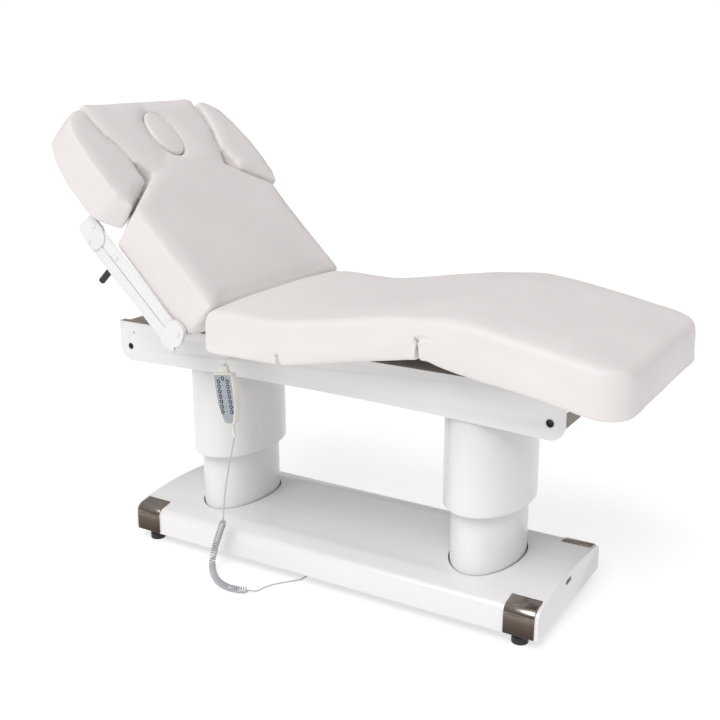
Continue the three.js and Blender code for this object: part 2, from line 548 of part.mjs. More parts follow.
// ---------------------------------------------------------------- linear actuators inside the beam
// Built along its own +X from the rear pin to the rod's eye, then turned to lie between the two.
function makeActuator({ name, lever, rear, y, halfWidth, stroke, nose, overlap }, hinge, restDegrees) {
  const angle = THREE.MathUtils.degToRad(restDegrees);
  const eye = new THREE.Vector3(lever[0], 0, lever[1]).applyAxisAngle(Y, angle);
  const reach = eye.add(new THREE.Vector3(hinge.x - rear[0], 0, hinge.z - rear[1]));
  const length = reach.length();
  const pose = new THREE.Group();
  pose.position.set(rear[0], y, rear[1]);
  pose.rotation.y = -Math.atan2(reach.z, reach.x);
  lift.add(pose);

  const round = (v, radius, from, to, sides) => alongX(circle(v, 0, radius, sides), from, to);
  const tubeEnd = length - nose;
  const motorY = halfWidth + 20;
  const body = [round(0, 20, 50, tubeEnd, 20), round(motorY, 21, 34, 150, 16),
    box(30, 60, 0, motorY, -22, 22), pinY(0, 0, 5, -halfWidth - 9, halfWidth + 9, 12)];
  const housing = join(box(-22, 62, -halfWidth, halfWidth, -27, 27), ...body);
  const bore = round(0, 12, tubeEnd - stroke - 40, tubeEnd + 1, 16);
  place(pose, `${name}_actuator_housing`, cut(housing, bore), darkSteel);

  const shaft = round(0, 10, tubeEnd - overlap, length - 8, 16);
  const eyeHole = pinY(length, 0, 5, -20, 20, 12);
  place(pose, `${name}_actuator_rod`, cut(join(shaft, pinY(length, 0, 13, -12, 12, 16)), eyeHole), aluminium);
}

// ---------------------------------------------------------------- handset and its cord
function makeHandset() {
  const handset = new THREE.Group();
  handset.position.set(HANDSET.x, HANDSET.y, HANDSET.z);
  handset.rotation.y = -THREE.MathUtils.degToRad(HANDSET.tilt);
  lift.add(handset);
  const half = HANDSET.halfThick;
  const centre = -12; // the case hangs a little to the head side of its hook
  const face = outline([[centre - 35, -28, 6], [centre - 33, -130, 30], [centre - 16, -182, 10],
    [centre + 18, -182, 10], [centre + 33, -130, 30], [centre + 35, -28, 6]], 4);
  const neck = outline([[centre - 18, -30], [centre + 18, -30], [centre + 16, -4, 8],
    [centre - 16, -4, 8]], 3);
  const relief = new THREE.LatheGeometry([[0, -226], [3.6, -226], [4.6, -205], [9, -184], [9, -180],
    [0, -180]].map(([u, v]) => new THREE.Vector2(u, v)), 16);
  relief.rotateX(Math.PI / 2);
  relief.translate(centre + 2, 0, 0);
  const wells = [];
  const first = -51;
  const spots = [[0, first + 9]];
  for (const column of MIRROR) {
    for (let row = 0; row < 7; row += 1) spots.push([column * BUTTON.column, first - row * BUTTON.pitch]);
  }
  spots.forEach(([u, v], i) => {
    wells.push(pinY(centre + u, v, BUTTON.radius + 0.4, -half - 1, -half + BUTTON.deep + 1.2, 16));
    const cap = pinY(centre + u, v, BUTTON.radius, -half - BUTTON.proud, -half + BUTTON.deep, 16);
    place(handset, `handset_button_${String(i + 1).padStart(2, "0")}`, cap, greyPlastic);
  });
  const shell = join(alongY(face, -half, half), alongY(neck, -6, 6), solid(relief));
  place(handset, "handset_case", cut(shell, ...wells), casePlastic);
}

// Each run of the cord: points in millimetres, swept with a plain round section.
const CORD_UPPER = [[-257, -285, 441], [-262, -285, 420], [-272, -285, 380], [-284, -285, 330],
  [-296, -286, 270], [-304, -286, 215], [-308, -287, 170]];
const CORD_COIL = [[-309, -287, 164], [-315, -288, 142], [-326, -291, 110], [-336, -295, 78],
  [-341, -301, 48], [-336, -314, 24], [-318, -335, 13], [-290, -360, 12], [-256, -382, 12], [-220, -393, 12],
  [-184, -391, 12], [-152, -378, 12]];
const CORD_LOWER = [[-148, -375, 11], [-140, -366, 7], [-135, -350, 3.4], [-132, -330, 3],
  [-122, -303, 3], [-104, -276, 3], [-82, -250, 3], [-64, -232, 5], [-53, -214, 12], [-50, -204, 15.4],
  [-50, -193, 16]];

function tube(points, radius, sides, steps) {
  const path = new THREE.CatmullRomCurve3(points.map(([x, y, z]) => new THREE.Vector3(x, y, z)));
  const shape = new THREE.Shape(circle(0, 0, radius, sides));
  return solid(new THREE.ExtrudeGeometry(shape, { steps, extrudePath: path, bevelEnabled: false }));
}

function makeCord() {
  place(base, "cord_upper", tube(CORD_UPPER, CORD_RADIUS, 8, 26), greyPlastic);
  place(base, "cord_coil", tube(CORD_COIL, COIL_RADIUS, 10, 36), greyPlastic);
  place(base, "cord_lower", tube(CORD_LOWER, CORD_RADIUS, 8, 28), greyPlastic);
}

makeBase();
makeColumns();
makeBeam();
makeSeat();
makeThigh();
makeLeg();
makeBackrest();
makeArmrest(-1);
makeArmrest(1);
makeActuator(BACK_ACTUATOR, HIP, HIP.rest);
makeActuator(LEG_ACTUATOR, THIGH, -THIGH.rest);
makeHandset();
makeCord();

// The origin stands under the middle of the bed, measured without the cord.
group.updateMatrixWorld(true);
const extent = new THREE.Box3();
group.traverse((piece) => {
  if (piece.isMesh && !piece.name.startsWith("cord_")) extent.expandByObject(piece, true);
});
group.position.x = -(extent.min.x + extent.max.x) / 2;
group.position.y = -(extent.min.y + extent.max.y) / 2;

export default group;
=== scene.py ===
import json
import math

import bmesh
import bpy
import numpy as np
from mathutils import Matrix, Vector


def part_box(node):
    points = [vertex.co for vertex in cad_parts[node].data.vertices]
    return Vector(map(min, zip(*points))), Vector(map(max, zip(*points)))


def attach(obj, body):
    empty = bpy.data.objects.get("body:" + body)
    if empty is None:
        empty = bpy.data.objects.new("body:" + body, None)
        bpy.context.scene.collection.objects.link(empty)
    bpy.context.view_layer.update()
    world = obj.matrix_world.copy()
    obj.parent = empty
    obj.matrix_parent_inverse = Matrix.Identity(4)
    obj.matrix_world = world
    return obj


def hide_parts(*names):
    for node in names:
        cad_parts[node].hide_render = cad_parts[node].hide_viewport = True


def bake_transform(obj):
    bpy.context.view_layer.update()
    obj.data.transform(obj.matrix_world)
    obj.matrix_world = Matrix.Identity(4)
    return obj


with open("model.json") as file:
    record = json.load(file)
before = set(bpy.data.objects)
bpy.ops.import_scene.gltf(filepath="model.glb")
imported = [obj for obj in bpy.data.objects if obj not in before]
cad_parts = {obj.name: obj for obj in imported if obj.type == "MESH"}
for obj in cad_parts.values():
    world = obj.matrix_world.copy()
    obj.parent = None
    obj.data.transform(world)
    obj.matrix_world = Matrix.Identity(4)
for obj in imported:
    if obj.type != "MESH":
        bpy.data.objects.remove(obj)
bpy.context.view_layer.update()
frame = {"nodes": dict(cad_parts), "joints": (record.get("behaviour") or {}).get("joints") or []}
scene = bpy.context.scene
nodes = frame["nodes"]
joints = {joint["name"]: joint for joint in frame["joints"]}
SIDES = (("right", -1), ("left", 1))

base_low, base_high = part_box("base_cover")
SHIFT = (base_low.x + base_high.x) / 2  # the base's middle; the bed's own middle is the origin


def pivot(name):
    return Vector(joints[name]["pos_m"])


# ---------------------------------------------------------------- camera
def aim(obj, eye, target):
    obj.location = eye
    obj.rotation_euler = (Vector(target) - Vector(eye)).to_track_quat("-Z", "Y").to_euler()


camera = bpy.data.objects.new("camera", bpy.data.cameras.new("camera"))
scene.collection.objects.link(camera)
aim(camera, (1.5797 + SHIFT, -2.6515, 1.5435), (0.0076 + SHIFT, 0, 0.6499))
camera.data.lens = 53.35
camera.data.sensor_width = 36
camera.data.clip_end = 60
scene.camera = camera


# ---------------------------------------------------------------- meshes
def shade_smooth(mesh):
    mesh.polygons.foreach_set("use_smooth", [True] * len(mesh.polygons))


def add_mesh(name, points, faces):
    mesh = bpy.data.meshes.new(name)
    mesh.from_pydata([tuple(p) for p in points], [], [tuple(f) for f in faces])
    mesh.validate()
    shade_smooth(mesh)
    obj = bpy.data.objects.new(name, mesh)
    scene.collection.objects.link(obj)
    return obj


def bake(obj):
    """Applies obj's modifiers."""
    graph = bpy.context.evaluated_depsgraph_get()
    mesh = bpy.data.meshes.new_from_object(obj.evaluated_get(graph))
    obj.modifiers.clear()
    old, obj.data = obj.data, mesh
    bpy.data.meshes.remove(old)
    return obj


def coordinates(mesh):
    flat = np.empty(len(mesh.vertices) * 3, np.float32)
    mesh.vertices.foreach_get("co", flat)
    return flat.reshape(-1, 3).astype(float)


def set_coordinates(mesh, points):
    mesh.vertices.foreach_set("co", np.asarray(points, np.float32).ravel())
    mesh.update()


def normals_of(mesh):
    flat = np.empty(len(mesh.vertices) * 3, np.float32)
    mesh.vertices.foreach_get("normal", flat)
    return flat.reshape(-1, 3).astype(float)


def face_outward(obj):
    shape = bmesh.new()
    shape.from_mesh(obj.data)
    bmesh.ops.recalc_face_normals(shape, faces=shape.faces)
    shape.to_mesh(obj.data)
    shape.free()


def copy_node(node, name):
    """A copy of a CAD node's mesh with its corners joined, standing for that node."""
    obj = bpy.data.objects.new(name, nodes[node].data.copy())
    scene.collection.objects.link(obj)
    obj.data.materials.clear()
    shape = bmesh.new()
    shape.from_mesh(obj.data)
    bmesh.ops.remove_doubles(shape, verts=shape.verts, dist=2e-5)
    bmesh.ops.dissolve_limit(shape, angle_limit=math.radians(0.6), verts=shape.verts, edges=shape.edges)
    shape.to_mesh(obj.data)
    shape.free()
    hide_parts(node)
    return obj


def finish_piece(obj, body, paint):
    obj.data.materials.clear()
    obj.data.materials.append(paint)
    if body:
        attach(obj, body)
    return obj


SHARP = math.radians(35)  # an edge that turns by more than this stays a hard one


def ease(obj, bevel, segments, limit):
    """Rounds the edges that turn by more than limit, and shades the rest as smooth."""
    eased = obj.modifiers.new("edges", "BEVEL")
    eased.width = bevel
    eased.segments = segments
    eased.limit_method = "ANGLE"
    eased.angle_limit = limit
    bake(obj)
    shade_smooth(obj.data)
    obj.data.set_sharp_from_angle(angle=SHARP)
    return obj


def refine(node, body, paint, bevel):
    """The node's own shape with its edges eased and its round faces smooth."""
    obj = ease(copy_node(node, f"{node}_finished"), bevel, 2, SHARP)
    return finish_piece(obj, body, paint)


def lathe(name, profile, axis_point, axis, sides=48):
    """A closed turned piece: (radius, along) pairs that start and end on the axis."""
    turn = Vector(axis).normalized().to_track_quat("Z", "Y").to_matrix()
    points, faces = [], []
    inner = profile[1:-1]
    for radius, along in inner:
        for k in range(sides):
            a = 2 * math.pi * k / sides
            points.append(turn @ Vector((radius * math.cos(a), radius * math.sin(a), along)))
    for ring in range(len(inner) - 1):
        for k in range(sides):
            n = (k + 1) % sides
            faces.append((ring * sides + k, ring * sides + n, (ring + 1) * sides + n, (ring + 1) * sides + k))
    for index, (_, along) in enumerate((profile[0], profile[-1])):
        points.append(turn @ Vector((0, 0, along)))
        ring = 0 if index == 0 else len(inner) - 1
        for k in range(sides):
            n = (k + 1) % sides
            edge = (ring * sides + k, ring * sides + n)
            faces.append((*(edge if index else edge[::-1]), len(points) - 1))
    obj = add_mesh(name, [p + Vector(axis_point) for p in points], faces)
    obj.data.set_sharp_from_angle(angle=math.radians(40))
    return obj


def loop_faces(sides, count):
    """The faces between a closed loop of count points and its copies at sides places round an axis."""
    faces = []
    for k in range(sides):
        n = (k + 1) % sides
        for i in range(count):
            j = (i + 1) % count
            faces.append((k * count + i, n * count + i, n * count + j, k * count + j))
    return faces


def open_ring(name, profile, axis_point, axis, sides=48):
    """A closed turned ring: its profile is a loop of (radius, along) pairs that stays off the axis."""
    turn = Vector(axis).normalized().to_track_quat("Z", "Y").to_matrix()
    points = []
    for k in range(sides):
        a = 2 * math.pi * k / sides
        points += [Vector(axis_point) + turn @ Vector((r * math.cos(a), r * math.sin(a), along))
                   for r, along in profile]
    return add_mesh(name, points, loop_faces(sides, len(profile)))


def extrude(name, outline, origin, across, up, depth, bevel, segments):
    """A plate: its outline in (across, up), pulled out by depth, with eased edges."""
    across, up = Vector(across).normalized(), Vector(up).normalized()
    out = across.cross(up).normalized()
    origin = Vector(origin)
    n = len(outline)
    points = [origin + across * u + up * v + out * d for d in (0, depth) for u, v in outline]
    faces = [tuple(reversed(range(n))), tuple(range(n, 2 * n))]
    faces += [(k, (k + 1) % n, n + (k + 1) % n, n + k) for k in range(n)]
    return ease(add_mesh(name, points, faces), bevel, segments, math.radians(50))


def rounded_rect(half_u, half_v, radius, steps=6):
    corners = ((half_u, half_v, 0), (-half_u, half_v, 90), (-half_u, -half_v, 180), (half_u, -half_v, 270))
    outline = []
    for cu, cv, start in corners:
        mu = cu - math.copysign(radius, cu)
        mv = cv - math.copysign(radius, cv)
        for k in range(steps + 1):
            a = math.radians(start + 90 * k / steps)
            outline.append((mu + radius * math.cos(a), mv + radius * math.sin(a)))
    return outline


# ---------------------------------------------------------------- tubes
def catmull(points, per_span=12):
    """A smooth line through points."""
    p = np.array(points, float)
    p = np.vstack([2 * p[0] - p[1], p, 2 * p[-1] - p[-2]])
    line = []
    for i in range(1, len(p) - 2):
        for k in range(per_span):
            t = k / per_span
            a, b, c, d = p[i - 1], p[i], p[i + 1], p[i + 2]
            line.append(0.5 * (2 * b + (c - a) * t + (2 * a - 5 * b + 4 * c - d) * t**2
                               + (3 * b - a - 3 * c + d) * t**3))
    line.append(p[-2])
    return np.array(line)


def resample(line, step):
    spans = np.linalg.norm(np.diff(line, axis=0), axis=1)
    along = np.concatenate([[0], np.cumsum(spans)])
    count = max(2, int(round(along[-1] / step)) + 1)
    wanted = np.linspace(0, along[-1], count)
    return np.stack([np.interp(wanted, along, line[:, k]) for k in range(3)], 1)


def carried_frames(line):
    """A tangent and two cross directions at each point, carried along without twisting."""
    tangent = np.gradient(line, axis=0)
    tangent /= np.linalg.norm(tangent, axis=1)[:, None]
    seed = np.array([0, 0, 1.0]) if abs(tangent[0][2]) < 0.8 else np.array([0, 1.0, 0])
    first = np.cross(tangent[0], seed)
    first /= np.linalg.norm(first)
    sideways = [first]
    for k in range(1, len(line)):
        v = sideways[-1] - tangent[k] * sideways[-1].dot(tangent[k])
        sideways.append(v / np.linalg.norm(v))
    sideways = np.array(sideways)
    return tangent, sideways, np.cross(tangent, sideways)


def tube(name, line, radius, sides=8):
    _, u, v = carried_frames(line)
    radii = np.broadcast_to(radius, len(line))
    angles = np.linspace(0, 2 * math.pi, sides, endpoint=False)
    points = [line[i] + radii[i] * (math.cos(a) * u[i] + math.sin(a) * v[i])
              for i in range(len(line)) for a in angles]
    faces = [(i * sides + k, i * sides + (k + 1) % sides, (i + 1) * sides + (k + 1) % sides,
              (i + 1) * sides + k) for i in range(len(line) - 1) for k in range(sides)]
    last = (len(line) - 1) * sides
    faces += [tuple(reversed(range(sides))), tuple(range(last, last + sides))]
    return add_mesh(name, points, faces)


# ---------------------------------------------------------------- materials
def shader(name, colour, roughness, metallic=0.0, specular=0.5, coat=0.0, sheen=0.0):
    paint = bpy.data.materials.new(name)
    paint.use_nodes = True
    tree = paint.node_tree
    main = tree.nodes["Principled BSDF"]
    main.inputs["Base Color"].default_value = (*colour, 1)
    main.inputs["Roughness"].default_value = roughness
    main.inputs["Metallic"].default_value = metallic
    main.inputs["Specular IOR Level"].default_value = specular
    main.inputs["Coat Weight"].default_value = coat
    main.inputs["Coat Roughness"].default_value = 0.15
    main.inputs["Sheen Weight"].default_value = sheen
    main.inputs["Sheen Roughness"].default_value = 0.6
    where = tree.nodes.new("ShaderNodeTexCoord")
    return paint, tree, main, where.outputs["Object"]


def noise(tree, where, scale, detail=2.0, stretch=None):
    if stretch:
        mapping = tree.nodes.new("ShaderNodeMapping")
        mapping.inputs["Scale"].default_value = stretch
        tree.links.new(where, mapping.inputs["Vector"])
        where = mapping.outputs["Vector"]
    node = tree.nodes.new("ShaderNodeTexNoise")
    node.inputs["Scale"].default_value = scale
    node.inputs["Detail"].default_value = detail
    tree.links.new(where, node.inputs["Vector"])
    return node.outputs["Fac"]


def spread(tree, value, low, high, start=0.3, end=0.7):
    node = tree.nodes.new("ShaderNodeMapRange")
    node.inputs["From Min"].default_value = start
    node.inputs["From Max"].default_value = end
    node.inputs["To Min"].default_value = low
    node.inputs["To Max"].default_value = high
    tree.links.new(value, node.inputs["Value"])
    return node.outputs["Result"]


def tint(tree, main, value, low, high):
    ramp = tree.nodes.new("ShaderNodeValToRGB")
    ramp.color_ramp.elements[0].position = 0.35
    ramp.color_ramp.elements[1].position = 0.65
    ramp.color_ramp.elements[0].color = (*low, 1)
    ramp.color_ramp.elements[1].color = (*high, 1)
    tree.links.new(value, ramp.inputs["Fac"])
    tree.links.new(ramp.outputs["Color"], main.inputs["Base Color"])


def bumps(tree, main, layers):
    """Stacks height layers: (value, strength, distance in metres)."""
    below = None
    for value, strength, distance in layers:
        node = tree.nodes.new("ShaderNodeBump")
        node.inputs["Strength"].default_value = strength
        node.inputs["Distance"].default_value = distance
        tree.links.new(value, node.inputs["Height"])
        if below is not None:
            tree.links.new(below, node.inputs["Normal"])
        below = node.outputs["Normal"]
    tree.links.new(below, main.inputs["Normal"])


def shades(colour, amount):
    return [min(1, c * (1 - amount)) for c in colour], [min(1, c * (1 + amount)) for c in colour]


def make_vinyl():
    colour = (0.84, 0.797, 0.784)
    paint, tree, main, where = shader("white_vinyl", colour, 0.46, specular=0.42, sheen=0.04)
    tint(tree, main, noise(tree, where, 5, 3), *shades(colour, 0.014))
    cells = tree.nodes.new("ShaderNodeTexVoronoi")
    cells.feature = "DISTANCE_TO_EDGE"
    cells.inputs["Scale"].default_value = 620
    tree.links.new(where, cells.inputs["Vector"])
    tree.links.new(spread(tree, noise(tree, where, 9, 3), 0.4, 0.52), main.inputs["Roughness"])
    bumps(tree, main, [
        (noise(tree, where, 24, 2), 0.25, 0.0016),
        (spread(tree, cells.outputs["Distance"], 0, 1, 0.02, 0.3), 0.22, 0.00018),
        (noise(tree, where, 1500, 2), 0.16, 0.00012)])
    return paint


def make_coated(name, colour, roughness, coat=0.25):
    paint, tree, main, where = shader(name, colour, roughness, coat=coat)
    tint(tree, main, noise(tree, where, 3, 2), *shades(colour, 0.006))
    tree.links.new(spread(tree, noise(tree, where, 2.5, 0), roughness - 0.02, roughness + 0.02, 0.1, 0.9),
                   main.inputs["Roughness"])
    bumps(tree, main, [(noise(tree, where, 210, 1), 0.03, 0.0001)])  # a faint orange peel
    return paint


def make_metal(name, colour, roughness, stretch, scale):
    paint, tree, main, where = shader(name, colour, roughness, metallic=1)
    fine = noise(tree, where, scale, 3, stretch)
    tint(tree, main, noise(tree, where, 18, 3), *shades(colour, 0.05))
    tree.links.new(spread(tree, fine, roughness - 0.04, roughness + 0.06), main.inputs["Roughness"])
    bumps(tree, main, [(fine, 0.03, 0.0001)])
    return paint


def make_nickel_painted_shine():
    """Smoked plating, its colour graded by height as painted reflection and shade: darker and browner towards
    the floor, a painted highlight over the shoulder.
    """
    paint, tree, main, where = shader("smoked_nickel", (0.2, 0.18, 0.16), 0.2, metallic=1)
    parts = tree.nodes.new("ShaderNodeSeparateXYZ")
    tree.links.new(where, parts.inputs["Vector"])
    ramp = tree.nodes.new("ShaderNodeValToRGB")
    # height sets the colour here: painted shade low down, a painted highlight band up at the shoulder
    tree.links.new(spread(tree, parts.outputs["Z"], 0, 1, 0.035, 0.125), ramp.inputs["Fac"])
    stops = ((0.0, (0.06, 0.045, 0.036)), (0.45, (0.13, 0.1, 0.082)), (0.8, (0.31, 0.265, 0.235)),
             (1.0, (0.33, 0.285, 0.255)))
    ramp.color_ramp.elements[0].position, ramp.color_ramp.elements[1].position = stops[0][0], stops[-1][0]
    for place, _ in stops[1:-1]:
        ramp.color_ramp.elements.new(place)
    for element, (_, colour) in zip(ramp.color_ramp.elements, stops):
        element.color = (*colour, 1)
    tree.links.new(ramp.outputs["Color"], main.inputs["Base Color"])
    tree.links.new(spread(tree, noise(tree, where, 60, 2), 0.16, 0.26), main.inputs["Roughness"])
    bumps(tree, main, [(noise(tree, where, 400, 2), 0.02, 0.0001)])
    return paint


def make_plastic(name, colour, roughness):
    paint, tree, main, where = shader(name, colour, roughness)
    tint(tree, main, noise(tree, where, 30, 2), *shades(colour, 0.03))
    tree.links.new(spread(tree, noise(tree, where, 60, 2), roughness - 0.05, roughness + 0.06),
                   main.inputs["Roughness"])
    bumps(tree, main, [(noise(tree, where, 1800, 2), 0.12, 0.0001)])
    return paint


vinyl = make_vinyl()
coated = make_coated("white_powder_coat", (0.86, 0.85, 0.856), 0.3)
# a dark brownish coat that is painted shade, used inside the beam and on its foot end web
shaded_steel = make_coated("beam_interior_painted_shade", (0.27, 0.235, 0.205), 0.6, coat=0.0)
dark_steel = make_coated("dark_coated_steel", (0.09, 0.085, 0.08), 0.45, coat=0.0)
nickel = make_nickel_painted_shine()
aluminium = make_metal("bare_aluminium", (0.62, 0.63, 0.65), 0.32, (14, 1, 1), 60)
rubber = make_plastic("black_rubber", (0.014, 0.014, 0.015), 0.5)
cream = make_plastic("cream_plastic", (0.78, 0.76, 0.69), 0.42)
panel_blue = make_plastic("handset_panel", (0.36, 0.385, 0.43), 0.4)
ring_dark = make_plastic("button_ring", (0.03, 0.034, 0.045), 0.45)
button_light = make_plastic("button_centre", (0.5, 0.53, 0.57), 0.4)
sheath = make_plastic("cord_sheath", (0.52, 0.53, 0.55), 0.42)


# ---------------------------------------------------------------- the handset's coiled cord
CORD_RADIUS = 0.0022
HELIX_RADIUS = 0.0088
CORD_UPPER = [(-257, -285, 441), (-262, -285, 420), (-272, -285, 380), (-284, -285, 330),
              (-296, -286, 270), (-304, -286, 215), (-308, -287, 170)]
CORD_COIL = [(-309, -287, 164), (-315, -288, 142), (-326, -291, 110), (-336, -295, 78),
             (-341, -301, 48), (-336, -314, 24), (-318, -335, 13), (-290, -360, 12), (-256, -382, 12),
             (-220, -393, 12), (-184, -391, 12), (-152, -378, 12)]
CORD_LOWER = [(-148, -375, 11), (-140, -366, 7), (-135, -350, 3.4), (-132, -330, 3), (-122, -303, 3),
              (-104, -276, 3), (-82, -250, 3), (-64, -232, 5), (-53, -214, 12), (-50, -204, 15.4),
              (-50, -193, 16)]
TURNS = 48


def in_metres(points):
    """Millimetres from the base's middle, to metres from the origin."""
    return [(x / 1000 + SHIFT, y / 1000, z / 1000) for x, y, z in points]


def make_cord():
    middle = resample(catmull(in_metres(CORD_COIL), 24), 0.0006)
    _, u, v = carried_frames(middle)
    t = np.linspace(0, 1, TURNS * 16 + 1)
    at = t * (len(middle) - 1)
    low = np.clip(at.astype(int), 0, len(middle) - 2)
    part = (at - low)[:, None]
    centre = middle[low] * (1 - part) + middle[low + 1] * part
    side_u, side_v = u[low], v[low]
    ramp = np.clip(np.minimum(t, 1 - t) * TURNS / 0.8, 0, 1)
    radius = (HELIX_RADIUS * ramp * ramp * (3 - 2 * ramp))[:, None]
    a = (t * TURNS * 2 * math.pi)[:, None]
    helix = centre + radius * (np.cos(a) * side_u + np.sin(a) * side_v)
    upper = resample(catmull(in_metres(CORD_UPPER), 12), 0.008)
    lower = resample(catmull(in_metres(CORD_LOWER), 12), 0.004)
    line = np.vstack([upper, helix, lower])
    cord = tube("handset_cord", line, CORD_RADIUS, 8)
    finish_piece(cord, None, sheath)
    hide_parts("cord_upper", "cord_coil", "cord_lower")
    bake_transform(cord)


make_cord()


# ---------------------------------------------------------------- padding
SWELL_FRAMES = 20
CALM_ROUNDS = 14  # evens out the simulated movement, so that no ripples stay


def relax(points, edges, rounds, hold=None):
    """Evens points out along the mesh's edges, less where hold is near 1."""
    count = np.bincount(edges.ravel(), minlength=len(points))[:, None]
    free = 1.0 if hold is None else (1 - hold)[:, None]
    for _ in range(rounds):
        total = np.zeros_like(points)
        np.add.at(total, edges[:, 0], points[edges[:, 1]])
        np.add.at(total, edges[:, 1], points[edges[:, 0]])
        points = points + (total / count - points) * 0.5 * free
    return points


def edge_pairs(mesh):
    pairs = np.empty(len(mesh.edges) * 2, np.int32)
    mesh.edges.foreach_get("vertices", pairs)
    return pairs.reshape(-1, 2)


def swell(obj, pins, pressure, cap):
    """Blows the cover up a little by cloth simulation, where pins doesn't hold it, by at most cap."""
    start = coordinates(obj.data)
    group = obj.vertex_groups.new(name="held")
    group.add(np.nonzero(pins)[0].tolist(), 1.0, "REPLACE")
    cloth = obj.modifiers.new("cloth", "CLOTH")
    settings = cloth.settings
    settings.quality = 5
    settings.mass = 0.3
    settings.tension_stiffness = 18
    settings.compression_stiffness = 12
    settings.shear_stiffness = 8
    settings.bending_stiffness = 1.2
    settings.use_pressure = True
    settings.uniform_pressure_force = pressure
    settings.vertex_group_mass = "held"
    settings.effector_weights.gravity = 0
    cloth.collision_settings.use_collision = False
    cloth.point_cache.frame_start = 1
    cloth.point_cache.frame_end = SWELL_FRAMES
    for tick in range(1, SWELL_FRAMES + 1):
        scene.frame_set(tick)
    graph = bpy.context.evaluated_depsgraph_get()
    blown = coordinates(obj.evaluated_get(graph).to_mesh())
    obj.modifiers.clear()
    obj.vertex_groups.clear()
    scene.frame_set(1)
    move = blown - start
    size = np.linalg.norm(move, axis=1)[:, None] + 1e-9
    move = relax(move / size * cap * np.tanh(size / cap), edge_pairs(obj.data), CALM_ROUNDS)
    set_coordinates(obj.data, start + move)


def finish_padding(obj, levels=1):
    shade_smooth(obj.data)
    if levels:
        fine = obj.modifiers.new("fine", "SUBSURF")
        fine.levels = levels
        fine.render_levels = levels


def pad_from_node(node, name, voxel, rounds, inset):
    """A padded piece in the space of one soft CAD solid: remeshed, with its edges rounded."""
    obj = copy_node(node, name)
    remesh = obj.modifiers.new("remesh", "REMESH")
    remesh.mode = "VOXEL"
    remesh.voxel_size = voxel
    remesh.use_smooth_shade = True
    bake(obj)
    points = relax(coordinates(obj.data), edge_pairs(obj.data), rounds)
    set_coordinates(obj.data, points)
    set_coordinates(obj.data, points - normals_of(obj.data) * inset)
    return obj


def reshape(obj, shape):
    set_coordinates(obj.data, shape(coordinates(obj.data), normals_of(obj.data)))


# The backrest's own axes: s up it from the crease, depth below its top surface, y across.
back_up = Vector(joints["face_plug_lift_out"]["axis"])  # square to its top surface
back_along = Vector((-back_up.z, 0, back_up.x))
CREASE = Vector((-0.2624 + SHIFT, 0, 0.8392))
HOLE = (0.64, 0.088, 0.059)  # the face hole: its middle's s, and its half lengths along s and y
PLUG = (0.64, 0.0865, 0.0575)  # the plug in it, likewise


def on_back(points):
    away = np.asarray(points) - np.array(CREASE)
    return away @ np.array(back_along), -(away @ np.array(back_up)), np.asarray(points)[:, 1]


def hump(x, middle, width):
    return np.exp(-(((x - middle) / width) ** 2))


def around(oval, s, y):
    """Each point's distance from an oval's middle, 1 on its rim, and its angle round it."""
    middle, along, across = oval
    return np.hypot((s - middle) / along, y / across), np.arctan2((s - middle) / along, y / across)


def deeper_than(obj, limit):
    return on_back(coordinates(obj.data))[1] > limit


def crown_back(points, normals):
    """Crowns the backrest a little and gathers the cover at the ends of the face hole."""
    s, depth, y = on_back(points)
    top = np.clip(1 - depth / 0.03, 0, 1)
    rise = 0.004 * np.cos(np.clip(y / 0.36, -1, 1) * math.pi / 2) * np.clip(s / 0.1, 0, 1)
    radial, angle = around(HOLE, s, y)
    gather = 0.0009 * np.cos(angle * 26) * hump(radial, 1.18, 0.14)
    gather *= np.abs(np.sin(angle)) ** 2
    sink = -0.0015 * hump(radial, 1.0, 0.12)
    slow = 0.0008 * np.sin(s * 21 + 1.3 * np.sin(y * 17)) * np.cos(y * 13 + 0.7)
    return points + normals * (top * (rise + gather + sink + slow))[:, None]


backrest = pad_from_node("backrest_cushion", "backrest_pad", 0.0065, 4, 0.002)
swell(backrest, deeper_than(backrest, 0.09), 3.5, 0.006)
reshape(backrest, crown_back)
finish_piece(backrest, "backrest", vinyl)
finish_padding(backrest)


def crown_plug(points, _normals):
    s, depth, y = on_back(points)
    radial, angle = around(PLUG, s, y)
    top = np.clip(1 - depth / 0.02, 0, 1)
    dome = 0.005 * np.clip(1 - radial**2, 0, 1)
    gather = 0.0006 * np.cos(angle * 22) * hump(radial, 0.86, 0.12)
    return points + np.outer(top * (dome + gather), np.array(back_up))


plug = pad_from_node("face_hole_plug", "face_hole_pad", 0.0045, 3, -0.0005)
reshape(plug, crown_plug)
finish_piece(plug, "face_plug", vinyl)
finish_padding(plug)


def arm_shape(points, normals):
    s, depth, y = on_back(points)
    top = np.clip(1 - depth / 0.04, 0, 1)
    slow = 0.0011 * np.sin(s * 31 + y * 9) * np.cos(y * 27 + s * 5)
    return points + normals * (top * slow)[:, None]


for side, _ in SIDES:
    pad = pad_from_node(f"arm_pad_{side}", f"arm_pad_cover_{side}", 0.006, 3, -0.001)
    swell(pad, deeper_than(pad, 0.1), 3.5, 0.005)
    reshape(pad, arm_shape)
    finish_piece(pad, f"armrest_{side}", vinyl)
    finish_padding(pad)

